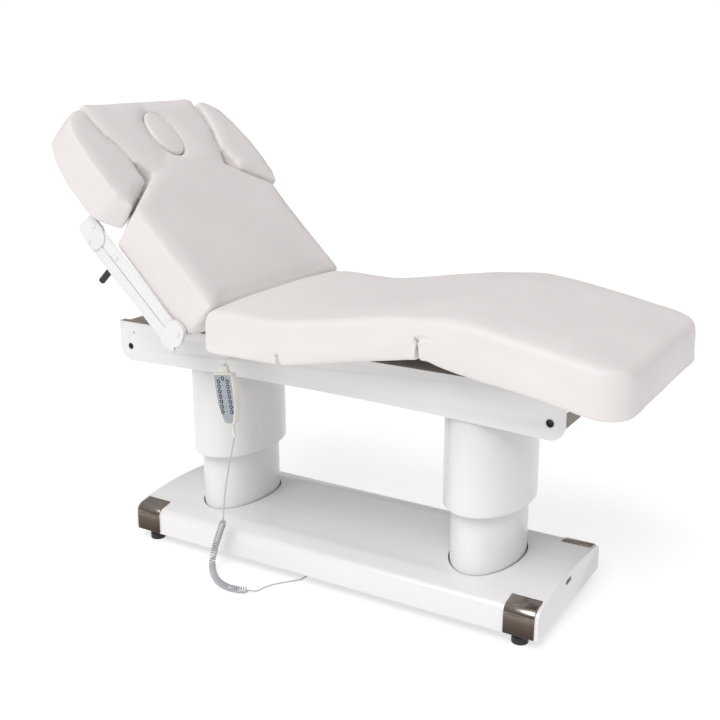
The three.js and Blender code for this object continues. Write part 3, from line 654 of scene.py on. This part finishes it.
# ---------------------------------------------------------------- seat, thigh and leg in one cover
thigh, knee = pivot("thigh_tilt"), pivot("leg_fold")
seat_low, seat_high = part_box("seat_cushion")
leg_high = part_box("leg_cushion")[1]
beam_low, beam_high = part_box("beam")
PAD_ABOVE = seat_high.z - thigh.z  # each pad's top above its own hinge line
PAD_BELOW = thigh.z - seat_low.z
thigh_slope = (knee.z - thigh.z) / (knee.x - thigh.x)
BEND = math.radians(22.5)  # between the thigh's line and the leg's
leg_slope = math.tan(BEND - math.atan(thigh_slope))
HALF = seat_high.y
RECESS = 0.203  # half the width of the hollow for the boards under the padding
RECESS_FLOOR = 0.7173  # the lowest that the hollow's ceiling comes
HEAD_X = seat_low.x + 0.013
FOOT_X = leg_high.x + 0.004
PLAN_RADIUS = 0.096  # of the foot end's corners, seen from above
EDGE = 0.026  # radius along the top edges
NOTCH_SEAT = thigh.x  # the two sewn folds in the lower edge
NOTCH_KNEE = 0.384 + SHIFT
ACROSS, DOWN = 44, 26  # cells across the cover and down its sides


def soft_max(a, b, k):
    return 0.5 * (a + b + np.sqrt((a - b) ** 2 + k * k))


def soft_min(a, b, k):
    return 0.5 * (a + b - np.sqrt((a - b) ** 2 + k * k))


def step(x, start, end):
    t = np.clip((x - start) / (end - start), 0, 1)
    return t * t * (3 - 2 * t)


def pad_top(x):
    crease = CREASE.x
    seat = seat_high.z - 0.006 * hump(x, crease + 0.2, 0.09)
    lean = math.hypot(1, thigh_slope)
    rise = thigh.z + (x - thigh.x) * thigh_slope + PAD_ABOVE * lean - 0.009
    fall = knee.z - (x - knee.x) * leg_slope + PAD_ABOVE * math.hypot(1, leg_slope) + 0.003
    top = soft_min(soft_max(seat, rise, 0.02), fall, 0.044)
    return top - 0.005 * hump(x, crease, 0.012)


def pad_axis(x):
    """Where the boards lie under the padding."""
    on_thigh = thigh.z + (x - thigh.x) * thigh_slope
    on_leg = knee.z - (x - knee.x) * leg_slope
    return np.where(x < thigh.x, thigh.z, np.minimum(on_thigh, on_leg))


def pad_bottom(x):
    below = np.where(x < thigh.x, seat_low.z, pad_axis(x) - PAD_BELOW)
    below = soft_max(below, seat_low.z - 0.002, 0.006)
    droop = 0.013 * step(x, NOTCH_KNEE - 0.01, NOTCH_KNEE + 0.06)
    below = below - droop * (1 - step(x, NOTCH_KNEE + 0.08, NOTCH_KNEE + 0.38))
    seat_notch = 0.03 * np.exp(-(np.abs(x - NOTCH_SEAT - 0.003) / 0.0042) ** 2)
    knee_notch = 0.05 * np.exp(-(np.abs(x - NOTCH_KNEE) / 0.0052) ** 4)
    return below + seat_notch + knee_notch


def recess_ceiling(x):
    ceiling = np.maximum(pad_axis(x) + 0.0075, RECESS_FLOOR)
    return np.maximum(ceiling, pad_bottom(x) + 0.001)


def rounded(centre_y, centre_z, radius, z):
    """How far out a rounded edge is at height z."""
    return centre_y + math.sqrt(max(radius**2 - (z - centre_z) ** 2, 0))


def section(x, inset, half):
    """One closed ring across the bed, as a grid's rim: top row, far side, bottom row, near side."""
    top = float(pad_top(x)) - inset
    low = float(pad_bottom(x)) + inset * 0.6
    ceiling = min(max(float(recess_ceiling(x)), low), top - 0.02)
    corner = min(EDGE, (top - low) * 0.42)
    under = min(0.012, (top - low) * 0.2)
    flat, low_flat = half - corner, half - under
    turn = [math.radians(45 + 45 * k / 4) for k in range(5)]
    over = [(-flat - corner * math.cos(a), top - corner + corner * math.sin(a)) for a in turn]
    inner = ACROSS - 8
    upper = over + [(-flat + 2 * flat * k / inner, top) for k in range(1, inner)]
    upper += [(-y, z) for y, z in reversed(over)]
    crown = 0.004 + 0.007 * float(hump(x, CREASE.x + 0.06, 0.13))
    upper = [(y, z + crown * (1 - (y / half) ** 2)) for y, z in upper]
    wall = min(RECESS, low_flat - 0.02)
    dip = under * (1 - math.sin(math.radians(45)))
    lows = [(-low_flat - under * math.cos(math.radians(45)), low + dip)]
    lows += [(-low_flat + (low_flat - wall) * k / 6, low) for k in range(7)]
    rest = ACROSS // 2 - 7
    lows += [(-(wall - 0.001) * (1 - k / rest), ceiling) for k in range(rest)]
    lower = lows[: ACROSS // 2] + [(0.0, ceiling)] + [(-y, z) for y, z in reversed(lows[: ACROSS // 2])]
    near = []
    for k in range(1, DOWN):
        z = upper[0][1] + (lower[0][1] - upper[0][1]) * k / DOWN
        if z > top - corner:
            y = rounded(flat, top - corner, corner, z)
        elif z < low + under:
            y = rounded(low_flat, low + under, under, z)
        else:
            y = half
        near.append((-y, z))
    return upper, [(-y, z) for y, z in near], lower, near


def stations():
    """(x, inset, half width) from the head end to the foot end."""
    found = []
    head_round = 0.03
    for k in range(1, 8):
        a = math.radians(90 * k / 8)
        found.append((HEAD_X + head_round * (1 - math.sin(a)), head_round * (1 - math.cos(a))))
    found.reverse()
    inner = list(np.arange(HEAD_X + head_round + 0.004, FOOT_X - PLAN_RADIUS, 0.0095))
    dense = [NOTCH_SEAT + d for d in np.arange(-0.024, 0.0241, 0.003)]
    dense += [NOTCH_KNEE + d for d in np.arange(-0.012, 0.0121, 0.0016)]
    kept = [x for x in inner if abs(x - NOTCH_SEAT) > 0.029 and abs(x - NOTCH_KNEE) > 0.0155]
    middle = sorted(kept + dense)
    head = [(x, inset, HALF - inset * 0.55) for x, inset in found]
    body = [(x, 0.0, HALF) for x in middle]
    foot = []
    for k in range(0, 15):
        a = math.radians(90 * k / 14.6)
        x = FOOT_X - PLAN_RADIUS + PLAN_RADIUS * math.sin(a)
        into = max(0.0, (x - (FOOT_X - EDGE)) / EDGE)
        inset = EDGE * (1 - math.sqrt(max(0, 1 - into * into)))
        foot.append((x, inset, HALF - PLAN_RADIUS * (1 - math.cos(a))))
    return head + body + foot


def make_skin():
    """The whole cover as one closed grid; its second material marks the leg's share."""
    points, rings, marks, faces = [], [], [], []
    middle = (thigh.x + knee.x) / 2
    for x, inset, half in stations():
        upper, far, lower, near = section(x, inset, half)
        rings.append(len(points))
        marks.append(int(x > middle))
        points += [(x, y, z) for y, z in upper + far + lower[::-1] + near[::-1]]
    row, side = len(upper), len(far)
    size = 2 * (row + side)
    share = []
    for i, first in enumerate(rings[:-1]):
        for k in range(size):
            n = (k + 1) % size
            faces.append((first + k, first + size + k, first + size + n, first + n))
            share.append(marks[i])
    for start, mark in ((rings[0], 0), (rings[-1], 1)):
        x = points[start][0]
        grid = [[start + j for j in range(row)]]
        below = [start + 2 * row + side - 1 - j for j in range(row)]
        for r in range(side):
            t = (r + 1) / (side + 1)
            line = [start + size - 1 - r]
            for j in range(1, row - 1):
                high, low = points[start + j], points[below[j]]
                puff = 0.005 * math.sin(math.pi * t) * math.sin(math.pi * j / (row - 1)) ** 0.5
                points.append((x + puff * (2 * mark - 1), high[1] * (1 - t) + low[1] * t,
                               high[2] * (1 - t) + low[2] * t))
                line.append(len(points) - 1)
            grid.append(line + [start + row + r])
        grid.append(below)
        for high, low in zip(grid, grid[1:]):
            for j in range(row - 1):
                faces.append((high[j], high[j + 1], low[j + 1], low[j]))
                share.append(mark)
    skin = add_mesh("skin", points, faces)
    skin.data.materials.append(vinyl)
    skin.data.materials.append(vinyl)
    skin.data.polygons.foreach_set("material_index", share)
    face_outward(skin)
    return skin


def on_sides(points):
    """1 on the cover's sides, and 0 further than 30 mm in from them."""
    return np.clip((np.abs(points[:, 1]) - (HALF - 0.03)) / 0.02, 0, 1)


def pucker(points, normals, x0, z0, count, reach, depth, start, end):
    """Small folds that fan out from one point on each side of the pad."""
    dx, dz = points[:, 0] - x0, points[:, 2] - z0
    away = np.hypot(dx, dz)
    angle = np.arctan2(dz, dx)
    turned = np.degrees(angle) % 360
    fan = step(turned, start, start + 25) * (1 - step(turned, end - 25, end))
    wave = np.cos(angle * count) * np.clip(away / 0.006, 0, 1)
    size = depth * wave * np.exp(-away / reach) * fan * on_sides(points)
    return points + normals * size[:, None]


def dent(points, normals, x0, z0, radius, depth):
    away = np.hypot(points[:, 0] - x0, points[:, 2] - z0)
    return points - normals * (depth * hump(away, 0, radius) * on_sides(points))[:, None]


def crease(points, normals, line, width, depth):
    """A fold pressed in along a line of (x, z) on each side of the pad, fading to its far end."""
    away = np.full(len(points), 9.0)
    along = np.zeros(len(points))
    flat = points[:, (0, 2)]
    for k, (a, b) in enumerate(zip(line, line[1:])):
        a, b = np.array(a), np.array(b)
        t = np.clip(((flat - a) @ (b - a)) / ((b - a) @ (b - a)), 0, 1)
        gap = np.linalg.norm(flat - (a + t[:, None] * (b - a)), axis=1)
        closer = gap < away
        away = np.where(closer, gap, away)
        along = np.where(closer, (k + t) / (len(line) - 1), along)
    fade = (1 - along) ** 0.7
    press = -hump(away, 0, width) + 0.45 * hump(away, 2 * width, width)
    return points + normals * (depth * press * fade * on_sides(points))[:, None]


def make_seat():
    skin = make_skin()
    edges = edge_pairs(skin.data)
    points = coordinates(skin.data)
    slit = hump(points[:, 0], NOTCH_KNEE, 0.02) * (points[:, 2] < 0.87)
    points = relax(points, edges, 3, np.clip(slit * 1.4, 0, 1))
    set_coordinates(skin.data, points)
    depth = pad_top(points[:, 0]) - points[:, 2]
    thick = pad_top(points[:, 0]) - pad_bottom(points[:, 0])
    near_slit = (np.abs(points[:, 0] - NOTCH_KNEE) < 0.016) & (points[:, 2] < 0.875)
    near_notch = (np.abs(points[:, 0] - NOTCH_SEAT) < 0.02) & (points[:, 2] < 0.76)
    low = (depth > thick - 0.012) & (np.abs(points[:, 1]) < HALF - 0.006)
    swell(skin, near_slit | near_notch | low, 3.0, 0.006)
    fine = skin.modifiers.new("fine", "SUBSURF")
    fine.levels = fine.render_levels = 1
    bake(skin)
    points, normals = coordinates(skin.data), normals_of(skin.data)
    slow = 0.0009 * np.sin(points[:, 0] * 19 + 2 * np.sin(points[:, 1] * 7))
    slow = slow * np.cos(points[:, 1] * 11 + points[:, 0] * 5)
    points = points + normals * slow[:, None]
    points = pucker(points, normals, NOTCH_SEAT, 0.743, 9, 0.013, 0.0016, 20, 200)
    points = dent(points, normals, NOTCH_SEAT + 0.002, 0.741, 0.0042, 0.008)
    points = crease(points, normals, [(NOTCH_SEAT + 0.003, 0.741), (NOTCH_SEAT + 0.012, 0.705)], 0.003, 0.003)
    arch = [(0.384, 0.846), (0.4, 0.853), (0.425, 0.852), (0.445, 0.843)]
    points = crease(points, normals, [(x + SHIFT, z) for x, z in arch], 0.0045, 0.0035)
    left = [(0.379, 0.847), (0.372, 0.83), (0.368, 0.81)]
    points = crease(points, normals, [(x + SHIFT, z) for x, z in left], 0.004, 0.0026)
    points = pucker(points, normals, NOTCH_KNEE, 0.849, 11, 0.016, 0.0012, 30, 190)
    set_coordinates(skin.data, points)

    for name, share in (("seat_pad", 0), ("leg_pad", 1)):
        obj = bpy.data.objects.new(name, skin.data.copy())
        scene.collection.objects.link(obj)
        shape = bmesh.new()
        shape.from_mesh(obj.data)
        others = [face for face in shape.faces if face.material_index != share]
        bmesh.ops.delete(shape, geom=others, context="FACES")
        shape.to_mesh(obj.data)
        shape.free()
        obj.data.polygons.foreach_set("material_index", [0] * len(obj.data.polygons))
        finish_piece(obj, None, vinyl)
        finish_padding(obj, 0)
    bpy.data.objects.remove(skin)
    seat, leg = bpy.data.objects["seat_pad"], bpy.data.objects["leg_pad"]
    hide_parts("seat_cushion", "thigh_cushion")
    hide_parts("leg_cushion")
    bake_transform(seat)
    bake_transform(leg)


make_seat()

# ---------------------------------------------------------------- steel and plastic pieces
HARD = {
    "base": [("base_cover", coated, "white_powder_coat", 0.0015),
             ("base_pan", dark_steel, "dark_coated_steel", 0.0008)],
    "lift": [("beam", coated, "white_powder_coat", 0.0012)],
    "backrest": [("backrest_frame", coated, "white_powder_coat", 0.0008)],
    "thigh_rest": [("thigh_frame", coated, "white_powder_coat", 0.0008)],
    "leg_rest": [("leg_frame", coated, "white_powder_coat", 0.0008)],
    "back_actuator_body": [("back_actuator_housing", dark_steel, "dark_coated_steel", 0.001)],
    "back_actuator_shaft": [("back_actuator_rod", aluminium, "bare_aluminium", 0.0006)],
    "leg_actuator_body": [("leg_actuator_housing", dark_steel, "dark_coated_steel", 0.001)],
    "leg_actuator_shaft": [("leg_actuator_rod", aluminium, "bare_aluminium", 0.0006)],
}
for end in ("head", "foot"):
    HARD["base"].append((f"lift_profile_outer_{end}", aluminium, "bare_aluminium", 0.0006))
    HARD["lift"].append((f"lift_profile_inner_{end}", aluminium, "bare_aluminium", 0.0006))
    for side, _ in SIDES:
        HARD["base"].append((f"corner_cover_{end}_{side}", nickel, "smoked_nickel", 0.0022))
        HARD["base"].append((f"foot_{end}_{side}", rubber, "black_rubber", 0.002))
for side, _ in SIDES:
    HARD[f"upper_bar_{side}"] = [(f"armrest_upper_bar_{side}", coated, "white_powder_coat", 0.001)]
    HARD[f"lower_bar_{side}"] = [(f"armrest_lower_bar_{side}", coated, "white_powder_coat", 0.001)]
    HARD[f"armrest_{side}"] = [(f"armrest_bracket_{side}", coated, "white_powder_coat", 0.001)]
    HARD[f"lock_lever_{side}"] = [(f"armrest_lock_lever_{side}", rubber, "black_rubber", 0.0015)]
for body, pieces in HARD.items():
    for node, paint, slot, bevel in pieces:
        refine(node, body, paint, bevel)

# the inside of the beam is coloured dark and brownish: painted shade, for the shadow between its side plates
beam = bpy.data.objects["beam_finished"]
beam.data.materials.append(shaded_steel)
for face in beam.data.polygons:
    if abs(face.center.y) < beam_high.y - 0.003 and face.center.x > beam_low.x + 0.09:
        face.material_index = 1


# ---------------------------------------------------------------- column covers
def oval_cover(node, body, wall, crisp):
    """An oval tube with rounded rims; crisp adds a loop that keeps its shading flat down to the lower rim."""
    low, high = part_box(node)
    cx, rx, ry = (low.x + high.x) / 2, (high.x - low.x) / 2, high.y
    z0, z1, r = low.z, high.z, wall / 2
    rim = [(-r + r * math.cos(a), z1 - r + r * math.sin(a)) for a in np.linspace(0, math.pi, 7)]
    rim += [(-r - r * math.cos(a), z0 + r - r * math.sin(a)) for a in np.linspace(0, math.pi, 7)]
    if crisp:
        rim += [(0, z0 + 0.02)]
    rim += [(0, z0 + 0.1), (0, z1 - 0.1)]
    sides = 144
    points = []
    for k in range(sides):
        a = 2 * math.pi * k / sides
        points += [(cx + (rx + out) * math.cos(a), (ry + out) * math.sin(a), z) for out, z in rim]
    obj = add_mesh(f"{node}_finished", points, loop_faces(sides, len(rim)))
    face_outward(obj)
    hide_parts(node)
    return finish_piece(obj, body, coated)


for end in ("head", "foot"):
    oval_cover(f"lower_column_cover_{end}", "base", 0.003, False)
    oval_cover(f"upper_column_cover_{end}", "lift", 0.003, True)


# ---------------------------------------------------------------- bolts, beam and bars
def bolt(name, body, x, z, hand, face, h):
    """A low domed head, h high, on a face that far from the bed's middle plane."""
    r = 0.0085
    profile = [(0, -0.001), (r, -0.001), (r, h * 0.35), (r * 0.93, h * 0.62), (r * 0.75, h * 0.85),
               (r * 0.45, h * 0.97), (0, h)]
    head = lathe(name, profile, (x, hand * face, z), (0, hand, 0), 32)
    finish_piece(head, body, coated)


PLATE_FACE, BAR_FACE = 0.3705, 0.366  # how far out the outer faces of the pivot plates and bars are
for side, hand in SIDES:
    for name, joint, body in (("upper_low", "armrest_swing", "backrest"),
                              ("lower_low", "armrest_lower_bar_turn", "backrest"),
                              ("upper_high", "armrest_level", f"armrest_{side}")):
        at = pivot(f"{joint}_{side}")
        bolt(f"bolt_{name}_{side}", body, at.x, at.z, hand, PLATE_FACE, 0.0042)
    high, low = pivot(f"armrest_level_{side}"), pivot(f"armrest_swing_{side}")
    other = pivot(f"armrest_lower_bar_turn_{side}") + (high - low)
    bolt(f"bolt_lower_high_{side}", f"armrest_{side}", other.x, other.z, hand, PLATE_FACE, 0.0042)
    lever = pivot(f"lock_lever_turn_{side}")
    bolt(f"bolt_lever_{side}", f"upper_bar_{side}", lever.x, lever.z, hand, BAR_FACE, 0.004)

# The round openings in the beam's side plates: name, x, z and radius. Each has an eased rim round it and
# a dark cup behind it, whose profiles are in shares of the radius and metres out from the plate. In the head
# openings the cup is painted shade for the dark inside of a through hole; at the foot opening it is a dark
# cap.
OPENINGS = (("head", -0.729, 0.636, 0.011), ("head_small", -0.712, 0.683, 0.0035),
            ("foot", 0.686, 0.63, 0.012))
RIM = ((0.94, -0.0012), (0.94, 0.0002), (1.02, 0.0007), (1.12, 0.0005), (1.16, -0.0004))
CUP = ((0, -0.016), (1.25, -0.016), (1.25, -0.0055), (0.9, -0.0055), (0.9, -0.012), (0, -0.012))
for side, hand in SIDES:
    for name, x, z, radius in OPENINGS:
        at = (x + SHIFT, hand * beam_high.y, z)
        rim = open_ring(f"beam_rim_{name}_{side}", [(radius * r, out) for r, out in RIM], at, (0, hand, 0))
        finish_piece(rim, "lift", coated)
        cup = lathe(f"beam_cup_{name}_{side}", [(radius * r, out) for r, out in CUP], at, (0, hand, 0), 32)
        finish_piece(cup, "lift", dark_steel)

# a web closes the beam's foot end between its side plates, coloured dark as painted shade
web = extrude("beam_end_web", rounded_rect(beam_high.y - 0.004, 0.02, 0.004),
              (beam_high.x - 0.012, 0, 0.632), (0, 1, 0), (0, 0, 1), 0.003, 0.0006, 2)
finish_piece(web, "lift", shaded_steel)

# a dark strip behind the slot between the two bars: painted shadow, put where the slot shows only shade
bars_along = (pivot("armrest_level_right") - pivot("armrest_swing_right")).normalized()
for side, hand in SIDES:
    middle = (pivot(f"armrest_swing_{side}") + pivot(f"armrest_lower_bar_turn_{side}")) / 2
    up = Vector((bars_along.z, 0, -bars_along.x))
    start = middle + bars_along * 0.075 + Vector((0, hand * 0.3604, 0))
    strip = extrude(f"bar_slot_painted_shadow_{side}", rounded_rect(0.13, 0.004, 0.002), start + bars_along * 0.13,
                    bars_along * -hand, up, 0.0006, 0.0002, 1)
    finish_piece(strip, f"lower_bar_{side}", ring_dark)


# ---------------------------------------------------------------- the handset
def middle_of(node):
    low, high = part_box(node)
    return (low + high) / 2


BUTTONS = [f"handset_button_{n:02d}" for n in range(1, 16)]
first, last = middle_of(BUTTONS[1]), middle_of(BUTTONS[7])  # the top and the bottom of one column
hand_up = Vector((first.x - last.x, 0, first.z - last.z)).normalized()
hand_across = Vector((hand_up.z, 0, -hand_up.x))
HAND = Vector((-0.277 + SHIFT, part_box("handset_case")[0].y, 0.668))  # the hook's place, level with its face
MID = -0.012  # its middle line hangs a little to the head side of the hook
refine("handset_case", "lift", cream, 0.0012)


def smooth_outline(corners, steps=5):
    """Rounds each (u, v, radius) corner of an outline."""
    line = []
    for i, (u, v, r) in enumerate(corners):
        before, after = corners[i - 1], corners[(i + 1) % len(corners)]
        a, b = Vector((before[0] - u, before[1] - v)), Vector((after[0] - u, after[1] - v))
        reach = min(r, a.length * 0.45, b.length * 0.45)
        p, q = Vector((u, v)) + a.normalized() * reach, Vector((u, v)) + b.normalized() * reach
        for k in range(steps + 1):
            t = k / steps
            line.append(tuple(p * (1 - t) ** 2 + Vector((u, v)) * 2 * t * (1 - t) + q * t * t))
    return line


def punch_holes(panel, radius):
    """Pierces the panel at each button."""
    punches = bmesh.new()
    for node in BUTTONS:
        at = middle_of(node)
        punch = lathe("hole", [(0, -0.004), (radius, -0.004), (radius, 0.004), (0, 0.004)],
                      (at.x, HAND.y, at.z), (0, -1, 0), 28)
        punches.from_mesh(punch.data)
        bpy.data.objects.remove(punch)
    cutter = add_mesh("holes", [], [])
    bmesh.ops.recalc_face_normals(punches, faces=punches.faces)
    punches.to_mesh(cutter.data)
    punches.free()
    pierce = panel.modifiers.new("holes", "BOOLEAN")
    pierce.operation = "DIFFERENCE"
    pierce.solver = "EXACT"
    pierce.object = cutter
    bake(panel)
    panel.data.set_sharp_from_angle(angle=SHARP)
    bpy.data.objects.remove(cutter)


right_half = [(0.0135, -0.1785, 0.008), (0.0298, -0.128, 0.02), (0.0318, -0.0312, 0.004)]
corners = [(MID - u, v, r) for u, v, r in reversed(right_half)] + [(MID + u, v, r) for u, v, r in right_half]
panel = extrude("handset_panel", smooth_outline(corners), HAND + Vector((0, 0.0004, 0)), hand_across, hand_up,
                0.001, 0.0003, 2)
punch_holes(panel, 0.0066)
finish_piece(panel, "lift", panel_blue)

# a button's dark ring and the light centre in it, as (radius, depth) pairs
RING = ((0, 0.002), (0.0061, 0.002), (0.0062, 0.0006), (0.0058, 0.0001), (0.0052, 0), (0.0036, 0.0001),
        (0.003, 0.0009), (0, 0.0009))
CAP = ((0, 0.0016), (0.0028, 0.0016), (0.0028, 0.0007), (0.0025, 0.0003), (0.0016, 0.0001), (0, 0))
for n, node in enumerate(BUTTONS, 1):
    middle = middle_of(node)
    at = (middle.x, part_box(node)[0].y, middle.z)
    ring = lathe(f"button_ring_{n:02d}", [(r, -d) for r, d in RING], at, (0, -1, 0), 28)
    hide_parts(node)
    finish_piece(ring, node, ring_dark)
    cap = lathe(f"button_cap_{n:02d}", [(r, -d) for r, d in CAP], at, (0, -1, 0), 24)
    finish_piece(cap, node, button_light)

# the small indicator lights, as (across, up) from the middle line at the hook's height
LIGHTS = ((-0.0138, -0.0395), (0.0148, -0.0395), (0.0, -0.127), (0.0, -0.142), (0.009, -0.152))
DOT = [(0, -0.0004), (0.0012, -0.0004), (0.0012, 0.0002), (0.0007, 0.0005), (0, 0.0006)]
for n, (u, v) in enumerate(LIGHTS, 1):
    at = HAND + hand_across * (MID + u) + hand_up * v + Vector((0, -0.0006, 0))
    finish_piece(lathe(f"handset_light_{n}", DOT, at, (0, -1, 0), 16), "lift", ring_dark)

# the wire hook that the handset hangs from, up to the beam's side
HOOK = [(-280.5, -285, 664), (-279, -285, 676), (-272, -284, 684), (-258, -280, 685),
        (-244, -272, 684), (-236, -250, 688.5), (-232, -222, 692), (-230, -196, 692)]
hook = tube("handset_hook", resample(catmull(in_metres(HOOK)), 0.003), 0.0022, 12)
finish_piece(hook, "lift", aluminium)


# ---------------------------------------------------------------- plates on the base
for end in ("head", "foot"):
    for side, hand in SIDES:
        low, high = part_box(f"corner_cover_{end}_{side}")
        middle = (low.x + high.x) / 2
        shape = rounded_rect((high.x - low.x) / 2 - 0.008, 0.027, 0.007)
        plate = extrude(f"corner_panel_{end}_{side}", shape,
                        (middle, hand * 0.2505, low.z + 0.0335), (-hand, 0, 0), (0, 0, 1), 0.0022, 0.0016, 3)
        finish_piece(plate, "base", nickel)

name_plate = extrude("blank_plate", rounded_rect(0.019, 0.0065, 0.003),
                     (base_high.x - 0.0002, -0.021, 0.1115), (0, 1, 0), (0, 0, 1), 0.0012, 0.0004, 2)
finish_piece(name_plate, "base", dark_steel)

# ---------------------------------------------------------------- floor and light
floor = add_mesh("floor", [(-30, -30, 0), (30, -30, 0), (30, 30, 0), (-30, 30, 0)], [(0, 1, 2, 3)])
ground, _, main, _ = shader("floor", (0.45, 0.45, 0.45), 0.9, specular=0.0)
main.inputs["Emission Color"].default_value = (1, 1, 1, 1)
main.inputs["Emission Strength"].default_value = 0.67
floor.data.materials.append(ground)

world = bpy.data.worlds.new("studio")
world.use_nodes = True
sky = world.node_tree.nodes["Background"]
sky.inputs["Color"].default_value = (1, 1, 1, 1)
tree = world.node_tree
rays = tree.nodes.new("ShaderNodeLightPath")
toward = tree.nodes.new("ShaderNodeSeparateXYZ")
tree.links.new(tree.nodes.new("ShaderNodeTexCoord").outputs["Generated"], toward.inputs["Vector"])
walls = spread(tree, toward.outputs["X"], 0.32, 0.05, -0.7, 0.7)  # less light from the foot end
lighting = spread(tree, toward.outputs["Z"], 0.2, 0.615, 0.0, 0.9)  # a brighter ceiling than walls
tree.links.new(walls, lighting.node.inputs["To Min"])
seen = tree.nodes.new("ShaderNodeMix")  # the backdrop itself is white
tree.links.new(rays.outputs["Is Camera Ray"], seen.inputs["Factor"])
tree.links.new(lighting, seen.inputs["A"])
seen.inputs["B"].default_value = 1.0
tree.links.new(seen.outputs["Result"], sky.inputs["Strength"])
scene.world = world

key = bpy.data.objects.new("key", bpy.data.lights.new("key", "SUN"))
key.data.energy = 1.7
key.data.angle = math.radians(38)
scene.collection.objects.link(key)
aim(key, (0.1, -2.5, 3.2), (0, 0, 0))
scene.view_settings.view_transform = "Standard"
